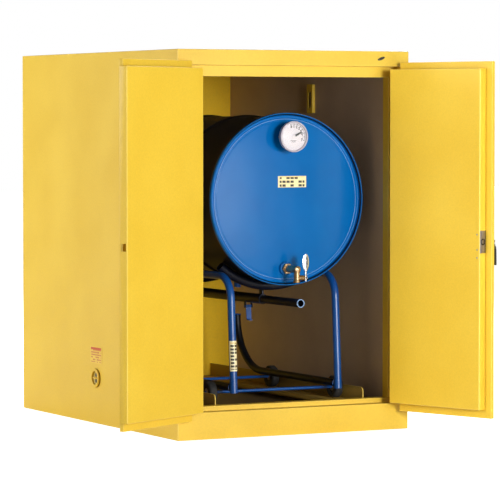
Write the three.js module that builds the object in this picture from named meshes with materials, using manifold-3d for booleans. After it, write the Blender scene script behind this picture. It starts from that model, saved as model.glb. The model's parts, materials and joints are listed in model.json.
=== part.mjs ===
// A double-wall steel safety cabinet with two hinged doors, holding one steel drum that lies on a wheeled
// cradle truck. Millimetres, +Z up. The origin is the centre of the cabinet's footprint, on its underside.
// The doors face -Y. Doors are drawn shut and then turned open about their hinge pins.

import * as THREE from 'three';
import { mergeVertices } from 'three/addons/utils/BufferGeometryUtils.js';
import Module from 'manifold-3d';

const wasm = await Module();
wasm.setup();

// ---------------------------------------------------------------- driving dimensions

const SHEET = 2; // steel sheet
const FIT = 0.3; // gap between two pieces that touch

const CABINET = { width: 864, depth: 1270, height: 1270 };
const SIDE = CABINET.width / 2;
const FRONT = -CABINET.depth / 2;
const BACK = CABINET.depth / 2;

const OPENING = { half: 410, bottom: 89, top: 1219, back: FRONT + 45 }; // pocket the door pans close into
const CLEAR = { half: 380, bottom: 104, top: 1183, back: FRONT + 82 }; // way through to the inside
const LINER = { half: 390, back: 597, top: 1232, bottom: 40 }; // inner faces of the inner walls
const SUMP = { floor: 60, rim: 92 };

const VENT = { radius: 32.5, hole: 26, proud: 8, left: { y: 0, z: 157 }, right: { y: -38, z: 1115 } };
const BAFFLE = { half: 20, y: VENT.right.y, bottom: 1064, top: 1166, reach: 11, window: [1088, 1142] };
const SIDE_LABEL = { width: 95, height: 58, z: 236 };
const PLUG = { x: 325, z: 1245, long: 14, short: 4.5, tilt: 0.35 };

const HINGE = { x: 394.5, y: FRONT - 14.3, bottom: 95, top: 1206, knuckles: 9 };
const KNUCKLE = { barrel: 4, pin: 1.9, bore: 2.4, inset: 2.7 };
const DOOR = {
  trayFront: FRONT - 16.3,
  trayBack: FRONT - FIT,
  trayBottom: 64,
  trayTop: 1232,
  trayHinge: 388,
  panBack: FRONT + 30,
  panBottom: 92,
  panTop: 1209,
  panHinge: 406,
  windowBottom: 112,
  windowTop: 1189,
};
const LEFT_DOOR = { side: -1, trayFree: -8, panFree: 14, window: [-378, -22], open: 151 };
const RIGHT_DOOR = { side: 1, trayFree: -6, panFree: 19, window: [30, 378], open: 109 };

const LATCH = { x: 20, z: 642, plateTop: 680, plateBottom: 606, boltZ: 643, rodX: 48, rodY: FRONT + 15 };
const BOLT = { radius: 6.5, tip: 16.6, end: 62 };
const ROD = { radius: 4, hole: 5.5 };
const LEVER = { hub: 11, drop: 80, reach: 38, halfWidth: 7, thick: 7 };

const AXIS = { x: 40, z: 776 }; // drum axis, parallel to Y
const DRUM = { front: -507, length: 880, body: 277, chime: 288.5, hoop: 283, wall: 3, recess: 15 };
const DRUM_LABEL = { x: 64, z: 834, width: 107, height: 38 };
const GAUGE = {
  x: AXIS.x + 1.5, z: AXIS.z + 209, radius: 52, front: -553, back: -527, stem: 14, reading: 62,
};
const FAUCET = { x: AXIS.x - 3, z: AXIS.z - 232, boss: 23, barrel: 13, end: -578, spout: 10, outlet: 500 };
const PLUG_AXIS = { y: FAUCET.end, z: 516 }; // faucet plug and lever turn about this line, parallel to X
const PADDLE = { x: 70, width: 26, height: 54, thick: 5, rise: 53 };

const TRUCK_TUBE = 12.7;
const TUBE_WALL = 2;
const FRAME = { half: 198, foot: [-498, 133], knee: [-478, 437], rail: 520, bend: 80 };
const REAR = { y: 247, bend: 190, rail: 151 };
const SADDLE = { radius: 294, tube: 16.6, spread: 40, front: -381, rear: 150, steps: 10 };
const SLEEVE = { z: 432, radius: 17, bore: 14.6, front: -331, rear: 215 };
const HANDLE = { radius: 14, bore: 11.5, front: -599, rear: 20 };
const CATCH = { y: -221, z: 405, half: 10, drop: 50, foot: 20, thick: 3, lug: [11, 14] };
const WHEEL = { radius: 38, half: 14, track: 240, front: -400, rear: 62 };
const AXLE = { radius: 5, half: 256 };
const TRACK = { x: 25, half: 278, deck: 72, flange: 138, thick: 3, front: -505, rear: 590, nose: 16 };
const TRACK_SLOT = { length: 90, bottom: 66, top: 84, centres: [-504, -104, 296] };
const FRAME_LABEL = { bottom: 206, top: 307, spread: 75, thick: 0.8 };

// ---------------------------------------------------------------- finishes

function finish(color, roughness, metalness) {
  return new THREE.MeshStandardMaterial({ color, roughness, metalness });
}

const YELLOW = finish(0xf0c93a, 0.5, 0);
const BLUE = finish(0x1f6fb8, 0.35, 0);
const DARK_BLUE = finish(0x24426e, 0.4, 0);
const RUBBER = finish(0x161616, 0.8, 0);
const STEEL = finish(0xa9a9ab, 0.35, 1);
const CHROME = finish(0xe4e4e6, 0.12, 1);
const BLACK = finish(0x1a1a1c, 0.5, 0);
const BRASS = finish(0xb98b43, 0.35, 1);
const CREAM = finish(0xf3e6b4, 0.6, 0);
const WHITE = finish(0xf2eee8, 0.5, 0);
const GLASS = finish(0xe8f0f2, 0.05, 0);
const RED = finish(0xc8502e, 0.6, 0);

// ---------------------------------------------------------------- shape helpers

function solidOf(geometry) {
  const bare = geometry.clone();
  bare.deleteAttribute('normal');
  bare.deleteAttribute('uv');
  const merged = mergeVertices(bare, 1e-4);
  const index = merged.index.array;
  const faces = [];
  for (let i = 0; i < index.length; i += 3) {
    const [a, b, c] = [index[i], index[i + 1], index[i + 2]];
    if (a !== b && b !== c && c !== a) {
      faces.push(a, b, c);
    }
  }
  return new wasm.Manifold(
    new wasm.Mesh({
      numProp: 3,
      vertProperties: new Float32Array(merged.attributes.position.array),
      triVerts: new Uint32Array(faces),
    }),
  );
}

function geometryOf(solid) {
  const mesh = solid.getMesh();
  const geometry = new THREE.BufferGeometry();
  geometry.setAttribute('position', new THREE.BufferAttribute(new Float32Array(mesh.vertProperties), 3));
  geometry.setIndex(new THREE.BufferAttribute(new Uint32Array(mesh.triVerts), 1));
  return geometry;
}

function join(...pieces) {
  return geometryOf(pieces.map(solidOf).reduce((sum, piece) => sum.add(piece)));
}

function cut(base, ...tools) {
  return geometryOf(tools.map(solidOf).reduce((rest, tool) => rest.subtract(tool), solidOf(base)));
}

// Two limits in rising order.
function span(a, b) {
  return a < b ? [a, b] : [b, a];
}

// A box between two limits on each axis.
function block([x0, x1], [y0, y1], [z0, z1]) {
  const box = new THREE.BoxGeometry(x1 - x0, y1 - y0, z1 - z0);
  return box.translate((x0 + x1) / 2, (y0 + y1) / 2, (z0 + z1) / 2);
}

// A straight round bar between two points.
function bar(from, to, radius, sides = 16) {
  const a = new THREE.Vector3(...from);
  const b = new THREE.Vector3(...to);
  const along = b.clone().sub(a);
  const up = new THREE.Vector3(0, 1, 0);
  const turn = new THREE.Quaternion().setFromUnitVectors(up, along.clone().normalize());
  const cylinder = new THREE.CylinderGeometry(radius, radius, along.length(), sides);
  const middle = a.add(b).multiplyScalar(0.5);
  return cylinder.applyQuaternion(turn).translate(middle.x, middle.y, middle.z);
}

// A body turned about the Y axis; the outline is [radius, y] pairs.
function turned(outline, sides = 24) {
  return new THREE.LatheGeometry(outline.map(([radius, y]) => new THREE.Vector2(radius, y)), sides);
}

// An outline in the YZ plane, given as a shape in (y, z), made into a plate between two x limits.
function plateAcross(outline, [x0, x1], curveSegments = 1) {
  const plate = new THREE.ExtrudeGeometry(outline, { depth: x1 - x0, bevelEnabled: false, curveSegments });
  const upright = new THREE.Matrix4().set(0, 0, 1, 0, 1, 0, 0, 0, 0, 1, 0, 0, 0, 0, 0, 1);
  return plate.applyMatrix4(upright).translate(x0, 0, 0);
}

function roundShape(radius, sides) {
  const points = [];
  for (let i = 0; i < sides; i += 1) {
    const angle = (2 * Math.PI * i) / sides;
    points.push(new THREE.Vector2(radius * Math.cos(angle), radius * Math.sin(angle)));
  }
  return points;
}

// A curve through a list of points, with the tube's cuts on the points themselves.
class Route extends THREE.Curve {
  constructor(points) {
    super();
    this.points = points;
  }

  getPoint(t, target = new THREE.Vector3()) {
    const last = this.points.length - 1;
    const place = t * last;
    const index = Math.min(Math.floor(place), last - 1);
    return target.lerpVectors(this.points[index], this.points[index + 1], place - index);
  }

  getPointAt(u, target) {
    return this.getPoint(u, target);
  }

  getTangentAt(u, target = new THREE.Vector3()) {
    const last = this.points.length - 1;
    const index = Math.round(u * last);
    const here = this.points[index];
    target.set(0, 0, 0);
    if (index > 0) {
      target.add(here.clone().sub(this.points[index - 1]).normalize());
    }
    if (index < last) {
      target.add(this.points[index + 1].clone().sub(here).normalize());
    }
    return target.normalize();
  }
}

// A round tube along a list of points; a bore makes it hollow with open ends.
function tube(points, radius, bore = 0, sides = 12) {
  const shape = new THREE.Shape(roundShape(radius, sides));
  if (bore) {
    shape.holes.push(new THREE.Path(roundShape(bore, sides)));
  }
  const options = { steps: points.length - 1, bevelEnabled: false, extrudePath: new Route(points) };
  return new THREE.ExtrudeGeometry(shape, options);
}

// Points of an arc in the YZ plane at one x, from one angle to another in degrees.
function arcPoints(x, [y, z], radius, from, to, steps) {
  const points = [];
  for (let i = 0; i <= steps; i += 1) {
    const angle = THREE.MathUtils.degToRad(from + ((to - from) * i) / steps);
    points.push(new THREE.Vector3(x, y + radius * Math.cos(angle), z + radius * Math.sin(angle)));
  }
  return points;
}

// An open rectangular duct along Y: the inside is given, the wall is outside it.
function duct(half, [bottom, top], [front, back]) {
  const outer = block([-half - SHEET, half + SHEET], [front, back], [bottom - SHEET, top + SHEET]);
  return cut(outer, block([-half, half], [front - 1, back + 1], [bottom, top]));
}

const model = new THREE.Group();

function add(name, geometry, material, group = model) {
  const mesh = new THREE.Mesh(geometry, material);
  mesh.name = name;
  group.add(mesh);
  return mesh;
}

// ---------------------------------------------------------------- cabinet shell

function addOuterShell() {
  const inner = SIDE - SHEET;
  for (const [name, side, vent] of [['left', -1, VENT.left], ['right', 1, VENT.right]]) {
    const xs = span(side * inner, side * SIDE);
    const panel = block(xs, [FRONT, BACK], [0, CABINET.height]);
    const hole = bar([xs[0] - 1, vent.y, vent.z], [xs[1] + 1, vent.y, vent.z], VENT.hole, 24);
    add(`side_panel_${name}`, cut(panel, hole), YELLOW);
  }
  const across = [-inner + FIT, inner - FIT];
  const along = [FRONT + SHEET + FIT, BACK - SHEET - FIT];
  add('back_panel', block(across, [BACK - SHEET, BACK], [0, CABINET.height]), YELLOW);
  add('top_panel', block(across, along, [CABINET.height - SHEET, CABINET.height]), YELLOW);
  add('bottom_panel', block(across, along, [0, SHEET]), YELLOW);
}

// The front sheet, the pocket for the doors, and the stop that the door pans close against.
function addFrontFrame() {
  const across = [-SIDE + SHEET + FIT, SIDE - SHEET - FIT];
  const sheet = block(across, [FRONT, FRONT + SHEET], [0, CABINET.height]);
  const heights = [OPENING.bottom, OPENING.top];
  const mouth = block([-OPENING.half, OPENING.half], [FRONT - 1, FRONT + SHEET + 1], heights);
  const pocket = duct(OPENING.half, heights, [FRONT + 1, OPENING.back]);
  const stop = block(
    [-OPENING.half - SHEET, OPENING.half + SHEET],
    [OPENING.back - SHEET, OPENING.back],
    [LINER.bottom, LINER.top + SHEET],
  );
  const way = block([-CLEAR.half, CLEAR.half], [FRONT, CLEAR.back + 1], [CLEAR.bottom, CLEAR.top]);
  const throat = duct(CLEAR.half, [CLEAR.bottom, CLEAR.top], [OPENING.back - 1, CLEAR.back]);
  const keepers = [OPENING.bottom - SHEET / 2, OPENING.top + SHEET / 2].map((z) =>
    bar([LATCH.rodX, LATCH.rodY, z - SHEET], [LATCH.rodX, LATCH.rodY, z + SHEET], ROD.hole + 1),
  );
  add('front_frame', cut(join(cut(sheet, mouth), pocket, cut(stop, way), throat), ...keepers), YELLOW);
}

function addLiner() {
  const front = OPENING.back + FIT;
  const heights = [LINER.bottom, LINER.top + SHEET];
  for (const [name, side] of [['left', -1], ['right', 1]]) {
    const xs = span(side * LINER.half, side * (LINER.half + SHEET));
    add(`liner_${name}`, block(xs, [front, LINER.back - FIT], heights), YELLOW);
  }
  const full = LINER.half + SHEET;
  const inside = [-LINER.half + FIT, LINER.half - FIT];
  add('liner_back', block([-full, full], [LINER.back, LINER.back + SHEET], heights), YELLOW);
  add('liner_ceiling', block(inside, [front, LINER.back - FIT], [LINER.top, LINER.top + SHEET]), YELLOW);
  const tray = block(inside, [front, LINER.back - FIT], [SUMP.floor - SHEET, SUMP.rim]);
  const hollow = block(
    [inside[0] + SHEET, inside[1] - SHEET],
    [front + SHEET, LINER.back - FIT - SHEET],
    [SUMP.floor, SUMP.rim + 1],
  );
  add('sump_pan', cut(tray, hollow), YELLOW);
}

// A wheel path with an upright outer flange, standing on a slotted web in the sump.
function addTracks() {
  for (const [name, side] of [['left', -1], ['right', 1]]) {
    const across = (a, b) => span(TRACK.x + side * a, TRACK.x + side * b);
    const deckZ = [SUMP.rim - TRACK.thick, SUMP.rim];
    const deck = block(across(TRACK.half - TRACK.deck, TRACK.half), [CLEAR.back, TRACK.rear], deckZ);
    const wall = new THREE.Shape();
    wall.moveTo(TRACK.front, SUMP.floor + FIT);
    wall.lineTo(TRACK.rear, SUMP.floor + FIT);
    wall.lineTo(TRACK.rear, TRACK.flange);
    wall.lineTo(TRACK.front + TRACK.nose, TRACK.flange);
    const { nose } = TRACK;
    wall.absarc(TRACK.front + nose, TRACK.flange - nose, nose, Math.PI / 2, Math.PI, false);
    const web = plateAcross(wall, across(TRACK.half, TRACK.half + TRACK.thick), 5);
    const slots = TRACK_SLOT.centres.map((y) =>
      block(
        across(TRACK.half - 1, TRACK.half + TRACK.thick + 1),
        [y - TRACK_SLOT.length / 2, y + TRACK_SLOT.length / 2],
        [TRACK_SLOT.bottom, TRACK_SLOT.top],
      ),
    );
    add(`track_${name}`, cut(join(deck, web), ...slots), YELLOW);
  }
}

function addVents() {
  for (const [name, side, { y, z }] of [['left', -1, VENT.left], ['right', 1, VENT.right]]) {
    const outline = [
      [0, -9],
      [VENT.hole - 1, -9],
      [VENT.hole - 1, FIT],
      [VENT.radius, FIT],
      [VENT.radius - 1, VENT.proud],
      [VENT.hole - 4, VENT.proud],
      [VENT.hole - 4, -6],
      [0, -6],
    ];
    const cap = turned(outline).rotateZ(-side * (Math.PI / 2));
    cap.translate(side * SIDE, y, z);
    add(`vent_${name}`, cap, YELLOW);
  }
  const [y0, y1] = [BAFFLE.y - BAFFLE.half, BAFFLE.y + BAFFLE.half];
  const wall = LINER.half - FIT;
  const outer = block([wall - BAFFLE.reach, wall], [y0, y1], [BAFFLE.bottom, BAFFLE.top]);
  const inside = wall - BAFFLE.reach + SHEET;
  const hollow = block([inside, wall + 1], [y0 + SHEET, y1 - SHEET], [0, CABINET.height]);
  const quarter = BAFFLE.half / 2;
  const window = block([0, inside + 1], [BAFFLE.y - quarter, BAFFLE.y + quarter], BAFFLE.window);
  add('vent_baffle', cut(outer, hollow, window), YELLOW);
}

function addTrim() {
  const { width, height, z } = SIDE_LABEL;
  const heights = [z - height / 2, z + height / 2];
  const label = block([-SIDE - 1, -SIDE - FIT], [-width / 2, width / 2], heights);
  add('side_label', label, RED);
  const plug = bar([0, -3, 0], [0, 0, 0], 1, 20);
  plug.scale(PLUG.long, 1, PLUG.short).rotateY(PLUG.tilt).translate(PLUG.x, FRONT - FIT, PLUG.z);
  add('header_plug', plug, BLACK);
}

// ---------------------------------------------------------------- doors

// Continuous hinge: knuckles take turns between the frame leaf and the door leaf, with one pin through all.
function knuckleSpans(first) {
  const pitch = (HINGE.top - HINGE.bottom) / HINGE.knuckles;
  const spans = [];
  for (let i = first; i < HINGE.knuckles; i += 2) {
    spans.push([HINGE.bottom + i * pitch + FIT, HINGE.bottom + (i + 1) * pitch - FIT]);
  }
  return spans;
}

function barrel(x, [z0, z1]) {
  const outer = bar([x, HINGE.y, z0], [x, HINGE.y, z1], KNUCKLE.barrel, 12);
  return cut(outer, bar([x, HINGE.y, z0 - 1], [x, HINGE.y, z1 + 1], KNUCKLE.bore, 12));
}

// The arm of each knuckle ends inside the barrel's wall, clear of its bore.
function frameLeaf(side) {
  const x = side * HINGE.x;
  const across = (a, b) => span(side * a, side * b);
  const heights = [HINGE.bottom, HINGE.top];
  const back = FRONT - FIT;
  const outside = HINGE.x + KNUCKLE.barrel - 0.2;
  const plate = block(across(HINGE.x + 2, SIDE - 5), [back - SHEET, back], heights);
  const web = block(across(HINGE.x + 2, outside), [HINGE.y + KNUCKLE.barrel + 0.6, back - 1], heights);
  const armX = across(HINGE.x + KNUCKLE.inset, outside);
  const armY = [HINGE.y + 0.6, HINGE.y + KNUCKLE.barrel + SHEET];
  const knuckles = knuckleSpans(0).map((zs) => join(block(armX, armY, zs), barrel(x, zs)));
  return join(plate, web, ...knuckles);
}

function doorLeaf(side) {
  const x = side * HINGE.x;
  const across = (a, b) => span(side * a, side * b);
  const heights = [HINGE.bottom, HINGE.top];
  const near = HINGE.x - KNUCKLE.barrel - FIT;
  const plate = block(across(DOOR.trayHinge + FIT, near), [DOOR.trayFront + 1, DOOR.trayBack - 1], heights);
  const armX = across(near - 1, HINGE.x - KNUCKLE.inset);
  const armY = [HINGE.y - 0.9, HINGE.y + 1.6];
  const knuckles = knuckleSpans(1).map((zs) => join(block(armX, armY, zs), barrel(x, zs)));
  return join(plate, ...knuckles);
}

// A hollow sheet-metal box with a window in the one face that its partner covers.
function shellBox(xs, ys, zs, windowXs, windowYs) {
  const within = ([low, high]) => [low + SHEET, high - SHEET];
  const cavity = block(within(xs), within(ys), within(zs));
  return cut(block(xs, ys, zs), cavity, block(windowXs, windowYs, [DOOR.windowBottom, DOOR.windowTop]));
}

function doorTray(door) {
  const xs = span(door.trayFree, door.side * DOOR.trayHinge);
  const back = [DOOR.trayBack - SHEET - 1, DOOR.trayBack + 1];
  return shellBox(xs, [DOOR.trayFront, DOOR.trayBack], [DOOR.trayBottom, DOOR.trayTop], door.window, back);
}

function doorPan(door) {
  const xs = span(door.panFree, door.side * DOOR.panHinge);
  const front = [FRONT - 1, FRONT + SHEET + 1];
  return shellBox(xs, [FRONT, DOOR.panBack], [DOOR.panBottom, DOOR.panTop], door.window, front);
}

// A group whose contents are drawn with the door shut and shown turned open about its hinge pin.
function openDoor(door) {
  const turning = new THREE.Group();
  turning.position.set(door.side * HINGE.x, HINGE.y, 0);
  turning.rotation.z = THREE.MathUtils.degToRad(door.side * door.open);
  const shut = new THREE.Group();
  shut.position.set(-door.side * HINGE.x, -HINGE.y, 0);
  turning.add(shut);
  model.add(turning);
  return shut;
}

function addHingeFixedParts(name, side) {
  add(`hinge_frame_leaf_${name}`, frameLeaf(side), YELLOW);
  const x = side * HINGE.x;
  const pin = bar([x, HINGE.y, HINGE.bottom], [x, HINGE.y, HINGE.top], KNUCKLE.pin, 12);
  add(`hinge_pin_${name}`, pin, STEEL);
}

function addLeftDoor() {
  const door = openDoor(LEFT_DOOR);
  const strike = block([8, 20], [LATCH.rodY - 10, LATCH.rodY + 10], [LATCH.boltZ - 12, LATCH.boltZ + 12]);
  add('door_tray_left', doorTray(LEFT_DOOR), YELLOW, door);
  add('door_pan_left', cut(doorPan(LEFT_DOOR), strike), YELLOW, door);
  add('hinge_door_leaf_left', doorLeaf(LEFT_DOOR.side), YELLOW, door);
}

function addRightDoor() {
  const door = openDoor(RIGHT_DOOR);
  const { x, z, boltZ, rodX, rodY } = LATCH;
  const spindleHole = bar([x, DOOR.trayFront - 2, z], [x, DOOR.trayFront + SHEET + 2, z], 8);
  add('door_tray_right', cut(doorTray(RIGHT_DOOR), spindleHole), YELLOW, door);
  const boltHole = bar([x - 5, rodY, boltZ], [x + 5, rodY, boltZ], BOLT.radius + 1);
  const topHole = bar([rodX, rodY, DOOR.panTop - 5], [rodX, rodY, DOOR.panTop + 5], ROD.hole);
  const bottomHole = bar([rodX, rodY, DOOR.panBottom - 5], [rodX, rodY, DOOR.panBottom + 5], ROD.hole);
  add('door_pan_right', cut(doorPan(RIGHT_DOOR), boltHole, topHole, bottomHole), YELLOW, door);
  add('hinge_door_leaf_right', doorLeaf(RIGHT_DOOR.side), YELLOW, door);
  addLatch(door);
}

function addLatch(door) {
  const { x, z, boltZ, rodX, rodY } = LATCH;
  const wall = RIGHT_DOOR.panFree - FIT;
  const plate = block([wall - 1.6, wall], [rodY - 14, rodY + 14], [LATCH.plateBottom, LATCH.plateTop]);
  add('lock_plate', cut(plate, bar([0, rodY, boltZ], [30, rodY, boltZ], BOLT.radius + 1)), STEEL, door);
  const face = DOOR.trayFront - FIT;
  const shield = block([x - 14, x + 14], [face - 3, face], [z - 42, z + 42]);
  add('escutcheon', cut(shield, bar([x, face - 5, z], [x, face + 2, z], 8)), BLACK, door);
  add('latch_lever', leverShape(face), BLACK, door);
  add('latch_bolt', bar([BOLT.tip, rodY, boltZ], [BOLT.end, rodY, boltZ], BOLT.radius, 16), STEEL, door);
  const top = bar([rodX, rodY, boltZ + 14], [rodX, rodY, DOOR.panTop - 0.5], ROD.radius, 12);
  add('latch_rod_top', top, STEEL, door);
  const bottom = bar([rodX, rodY, DOOR.panBottom + 0.5], [rodX, rodY, boltZ - 14], ROD.radius, 12);
  add('latch_rod_bottom', bottom, STEEL, door);
}

// Spindle and hub, with an arm that comes forward and hangs down.
function leverShape(face) {
  const { x, z } = LATCH;
  const spindle = bar([x, face - 5, z], [x, face + 9, z], 6);
  const hub = bar([x, face - 24, z], [x, face - 3.6, z], LEVER.hub, 20);
  const side = new THREE.Shape();
  side.moveTo(face - 16, z - 6);
  side.lineTo(face - 16 - LEVER.thick, z + 8);
  side.lineTo(face - LEVER.reach, z - 22);
  side.lineTo(face - LEVER.reach, z - LEVER.drop);
  side.lineTo(face - LEVER.reach + LEVER.thick, z - LEVER.drop);
  side.lineTo(face - LEVER.reach + LEVER.thick, z - 26);
  return join(spindle, hub, plateAcross(side, [x - LEVER.halfWidth, x + LEVER.halfWidth]));
}

// ---------------------------------------------------------------- drum

function addDrumShell() {
  const { front, length, body, chime, hoop, wall } = DRUM;
  const rear = front + length;
  const bump = (y) => [[body, y - 14], [hoop, y - 5], [hoop, y + 5], [body, y + 14]];
  const outline = [
    [body - wall, front],
    [chime, front],
    [chime, front + 12],
    [body, front + 17],
    ...bump(front + length / 3),
    ...bump(front + (2 * length) / 3),
    [body, rear - 17],
    [chime, rear - 12],
    [chime, rear],
    [body - wall, rear],
    [body - wall, front],
  ];
  add('drum_shell', turned(outline, 36).translate(AXIS.x, 0, AXIS.z), BLACK);
}

// A pressed end plate whose rim turns out to the chime; the sign says which way the drum's outside lies.
function headShape(end, outward) {
  const plate = end - outward * DRUM.recess;
  const rim = DRUM.body - DRUM.wall - FIT;
  const outline = [
    [0, plate],
    [rim - 7, plate],
    [rim - 3, end - outward * 4],
    [rim, end - outward * 4],
    [rim, plate - outward * 2],
    [0, plate - outward * 2],
  ];
  const head = turned(outward > 0 ? outline.reverse() : outline, 36);
  return head.translate(AXIS.x, 0, AXIS.z);
}

function addDrumHeads() {
  const inside = DRUM.front + DRUM.recess;
  const boss = bar([FAUCET.x, DRUM.front + 1, FAUCET.z], [FAUCET.x, inside + 1, FAUCET.z], FAUCET.boss, 24);
  const hole = ({ x, z }, radius) => bar([x, DRUM.front - 20, z], [x, inside + 20, z], radius, 20);
  const bore = hole(FAUCET, FAUCET.barrel + 1);
  const seat = hole(GAUGE, GAUGE.stem + 1);
  add('drum_head_front', cut(join(headShape(DRUM.front, -1), boss), bore, seat), BLUE);
  add('drum_head_rear', headShape(DRUM.front + DRUM.length, 1), BLUE);
  const face = inside - FIT;
  const { x, z, width, height } = DRUM_LABEL;
  const label = block([x - width / 2, x + width / 2], [face - 0.8, face], [z - height / 2, z + height / 2]);
  add('drum_label', label, CREAM);
}

function addGauge() {
  const { x, z, radius, front, back, stem } = GAUGE;
  const inside = DRUM.front + DRUM.recess + 8;
  const outline = [
    [0, inside],
    [stem, inside],
    [stem, back],
    [radius - 4, back],
    [radius, back - 4],
    [radius, front],
    [radius - 4, front],
    [radius - 4, front + 10],
    [0, front + 10],
  ];
  add('gauge_case', turned(outline.reverse(), 32).translate(x, 0, z), STEEL);
  const inner = radius - 4 - FIT;
  add('gauge_dial', bar([x, front + 8, z], [x, front + 9.7, z], inner, 32), WHITE);
  add('gauge_lens', bar([x, front + 0.5, z], [x, front + 2.5, z], inner, 32), GLASS);
  add('gauge_needle', needleShape(), BLACK);
}

// A tapered pointer on a small boss, drawn pointing up and turned to its resting place.
function needleShape() {
  const pointer = new THREE.Shape();
  pointer.moveTo(-2.6, -10);
  pointer.lineTo(2.6, -10);
  pointer.lineTo(0.8, 34);
  pointer.lineTo(-0.8, 34);
  const hand = new THREE.ExtrudeGeometry(pointer, { depth: 1, bevelEnabled: false });
  hand.rotateX(Math.PI / 2).translate(0, GAUGE.front + 6, 0);
  const boss = bar([0, GAUGE.front + 4, 0], [0, GAUGE.front + 7.5, 0], 4, 16);
  const needle = join(hand, boss).rotateY(THREE.MathUtils.degToRad(GAUGE.reading));
  return needle.translate(GAUGE.x, 0, GAUGE.z);
}

function addFaucet() {
  const { x, z, barrel: radius, end, spout, outlet } = FAUCET;
  const body = bar([x, DRUM.front + DRUM.recess + 6, z], [x, end, z], radius, 20);
  const neck = bar([x, end + 2, z + radius - 1], [x, end + 2, outlet], radius - 1, 20);
  const bore = bar([x, end + 2, z - 14], [x, end + 2, outlet - 1], spout - 2, 16);
  const { y, z: plugZ } = PLUG_AXIS;
  const leverX = PADDLE.x;
  const housing = bar([x, y, plugZ], [leverX - 4, y, plugZ], 9, 16);
  const socket = bar([leverX - 12, y, plugZ], [leverX, y, plugZ], 4, 12);
  add('faucet_body', cut(join(body, neck, housing), bore, socket), BRASS);
  const stem = bar([leverX - 11, y, plugZ], [leverX + 4, y, plugZ], 3.4, 12);
  const shank = bar([leverX, y, plugZ - 12], [leverX, y, plugZ + PADDLE.rise], 2.4, 12);
  add('faucet_lever', join(stem, shank, paddleShape(y, plugZ)), CHROME);
}

// An oval plate that faces the front, on top of the faucet lever's shank.
function paddleShape(y, plugZ) {
  const { x, width, height, thick, rise } = PADDLE;
  const disc = bar([0, -thick / 2, 0], [0, thick / 2, 0], 0.5, 24);
  return disc.scale(width, 1, height).translate(x, y, plugZ + rise);
}

// ---------------------------------------------------------------- cradle truck

// The front legs lean back by this angle.
function legLean() {
  const { foot, knee } = FRAME;
  return Math.atan2(knee[0] - foot[0], knee[1] - foot[1]);
}

// The line of one side frame's tube: front leg, top rail, rear upright and bottom rail.
function frameLine(x, footExtra, railEnd) {
  const { foot, knee, rail, bend } = FRAME;
  const lean = legLean();
  const centre = [knee[0] + bend * Math.cos(lean), knee[1] - bend * Math.sin(lean)];
  const start = [foot[0] - footExtra * Math.sin(lean), foot[1] - footExtra * Math.cos(lean)];
  const startAngle = 180 - THREE.MathUtils.radToDeg(lean);
  const frontBend = arcPoints(x, [centre[0], rail - bend], bend, startAngle, 90, 4);
  const backBend = arcPoints(x, [REAR.y - bend, rail - bend], bend, 90, 0, 4);
  const lowBend = arcPoints(x, [REAR.y - REAR.bend, REAR.rail + REAR.bend], REAR.bend, 0, -90, 6);
  return [
    new THREE.Vector3(x, ...start),
    ...frontBend,
    ...backBend,
    ...lowBend,
    new THREE.Vector3(x, railEnd, REAR.rail),
  ];
}

function addSideFrames() {
  for (const [name, side] of [['left', -1], ['right', 1]]) {
    const x = AXIS.x + side * FRAME.half;
    const legY = FRAME.foot[0] + 1;
    const steel = tube(frameLine(x, 0, legY), TRUCK_TUBE);
    const hollow = tube(frameLine(x, 2, legY + 26), TRUCK_TUBE - TUBE_WALL);
    add(`truck_frame_${name}`, cut(steel, hollow), BLUE);
  }
}

function addSaddles() {
  for (const [name, y] of [['front', SADDLE.front], ['rear', SADDLE.rear]]) {
    const points = [];
    for (let i = 0; i <= SADDLE.steps; i += 1) {
      const angle = THREE.MathUtils.degToRad(SADDLE.spread * ((2 * i) / SADDLE.steps - 1));
      const x = AXIS.x + SADDLE.radius * Math.sin(angle);
      points.push(new THREE.Vector3(x, y, AXIS.z - SADDLE.radius * Math.cos(angle)));
    }
    add(`saddle_${name}`, tube(points, SADDLE.tube, SADDLE.tube - TUBE_WALL, 10), DARK_BLUE);
  }
}

// The sleeve hangs from the saddles and carries two lugs for the drop catch.
function addHandle() {
  const { z, radius, bore, front, rear } = SLEEVE;
  const { x } = AXIS;
  const outer = bar([x, front, z], [x, rear, z], radius, 16);
  const under = AXIS.z - SADDLE.radius - SADDLE.tube - FIT;
  const hanger = (y) => block([x - 3, x + 3], [y - 12, y + 12], [z + 8, under]);
  const hangers = [hanger(front + 13), hanger(SADDLE.rear)];
  const lugs = [-1, 1].map((side) => {
    const xs = span(x + side * CATCH.lug[0], x + side * CATCH.lug[1]);
    return block(xs, [CATCH.y - 7, CATCH.y + 7], [CATCH.z - 7, z - 8]);
  });
  const inside = bar([x, front - 1, z], [x, rear + 1, z], bore, 16);
  const pivot = bar([x - 20, CATCH.y, CATCH.z - 1], [x + 20, CATCH.y, CATCH.z - 1], 3, 12);
  add('handle_sleeve', cut(join(outer, ...hangers, ...lugs), inside, pivot), DARK_BLUE);
  const line = [HANDLE.front, HANDLE.rear].map((y) => new THREE.Vector3(x, y, z));
  add('handle_tube', tube(line, HANDLE.radius, HANDLE.bore, 16), DARK_BLUE);
}

// An L-shaped plate that swings on a cross pin under the sleeve.
function addCatch() {
  const { x } = AXIS;
  const { y, half, drop, foot, thick } = CATCH;
  const z = CATCH.z - 1;
  const pin = bar([x - 16, y, z], [x + 16, y, z], 2.6, 12);
  const eye = bar([x - half, y, z], [x + half, y, z], 5, 12);
  const plate = block([x - half, x + half], [y - thick / 2, y + thick / 2], [z - drop, z]);
  const toe = block([x - half, x + half], [y - foot, y + thick / 2], [z - drop, z - drop + thick]);
  add('drop_catch', join(pin, eye, plate, toe), DARK_BLUE);
}

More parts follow.
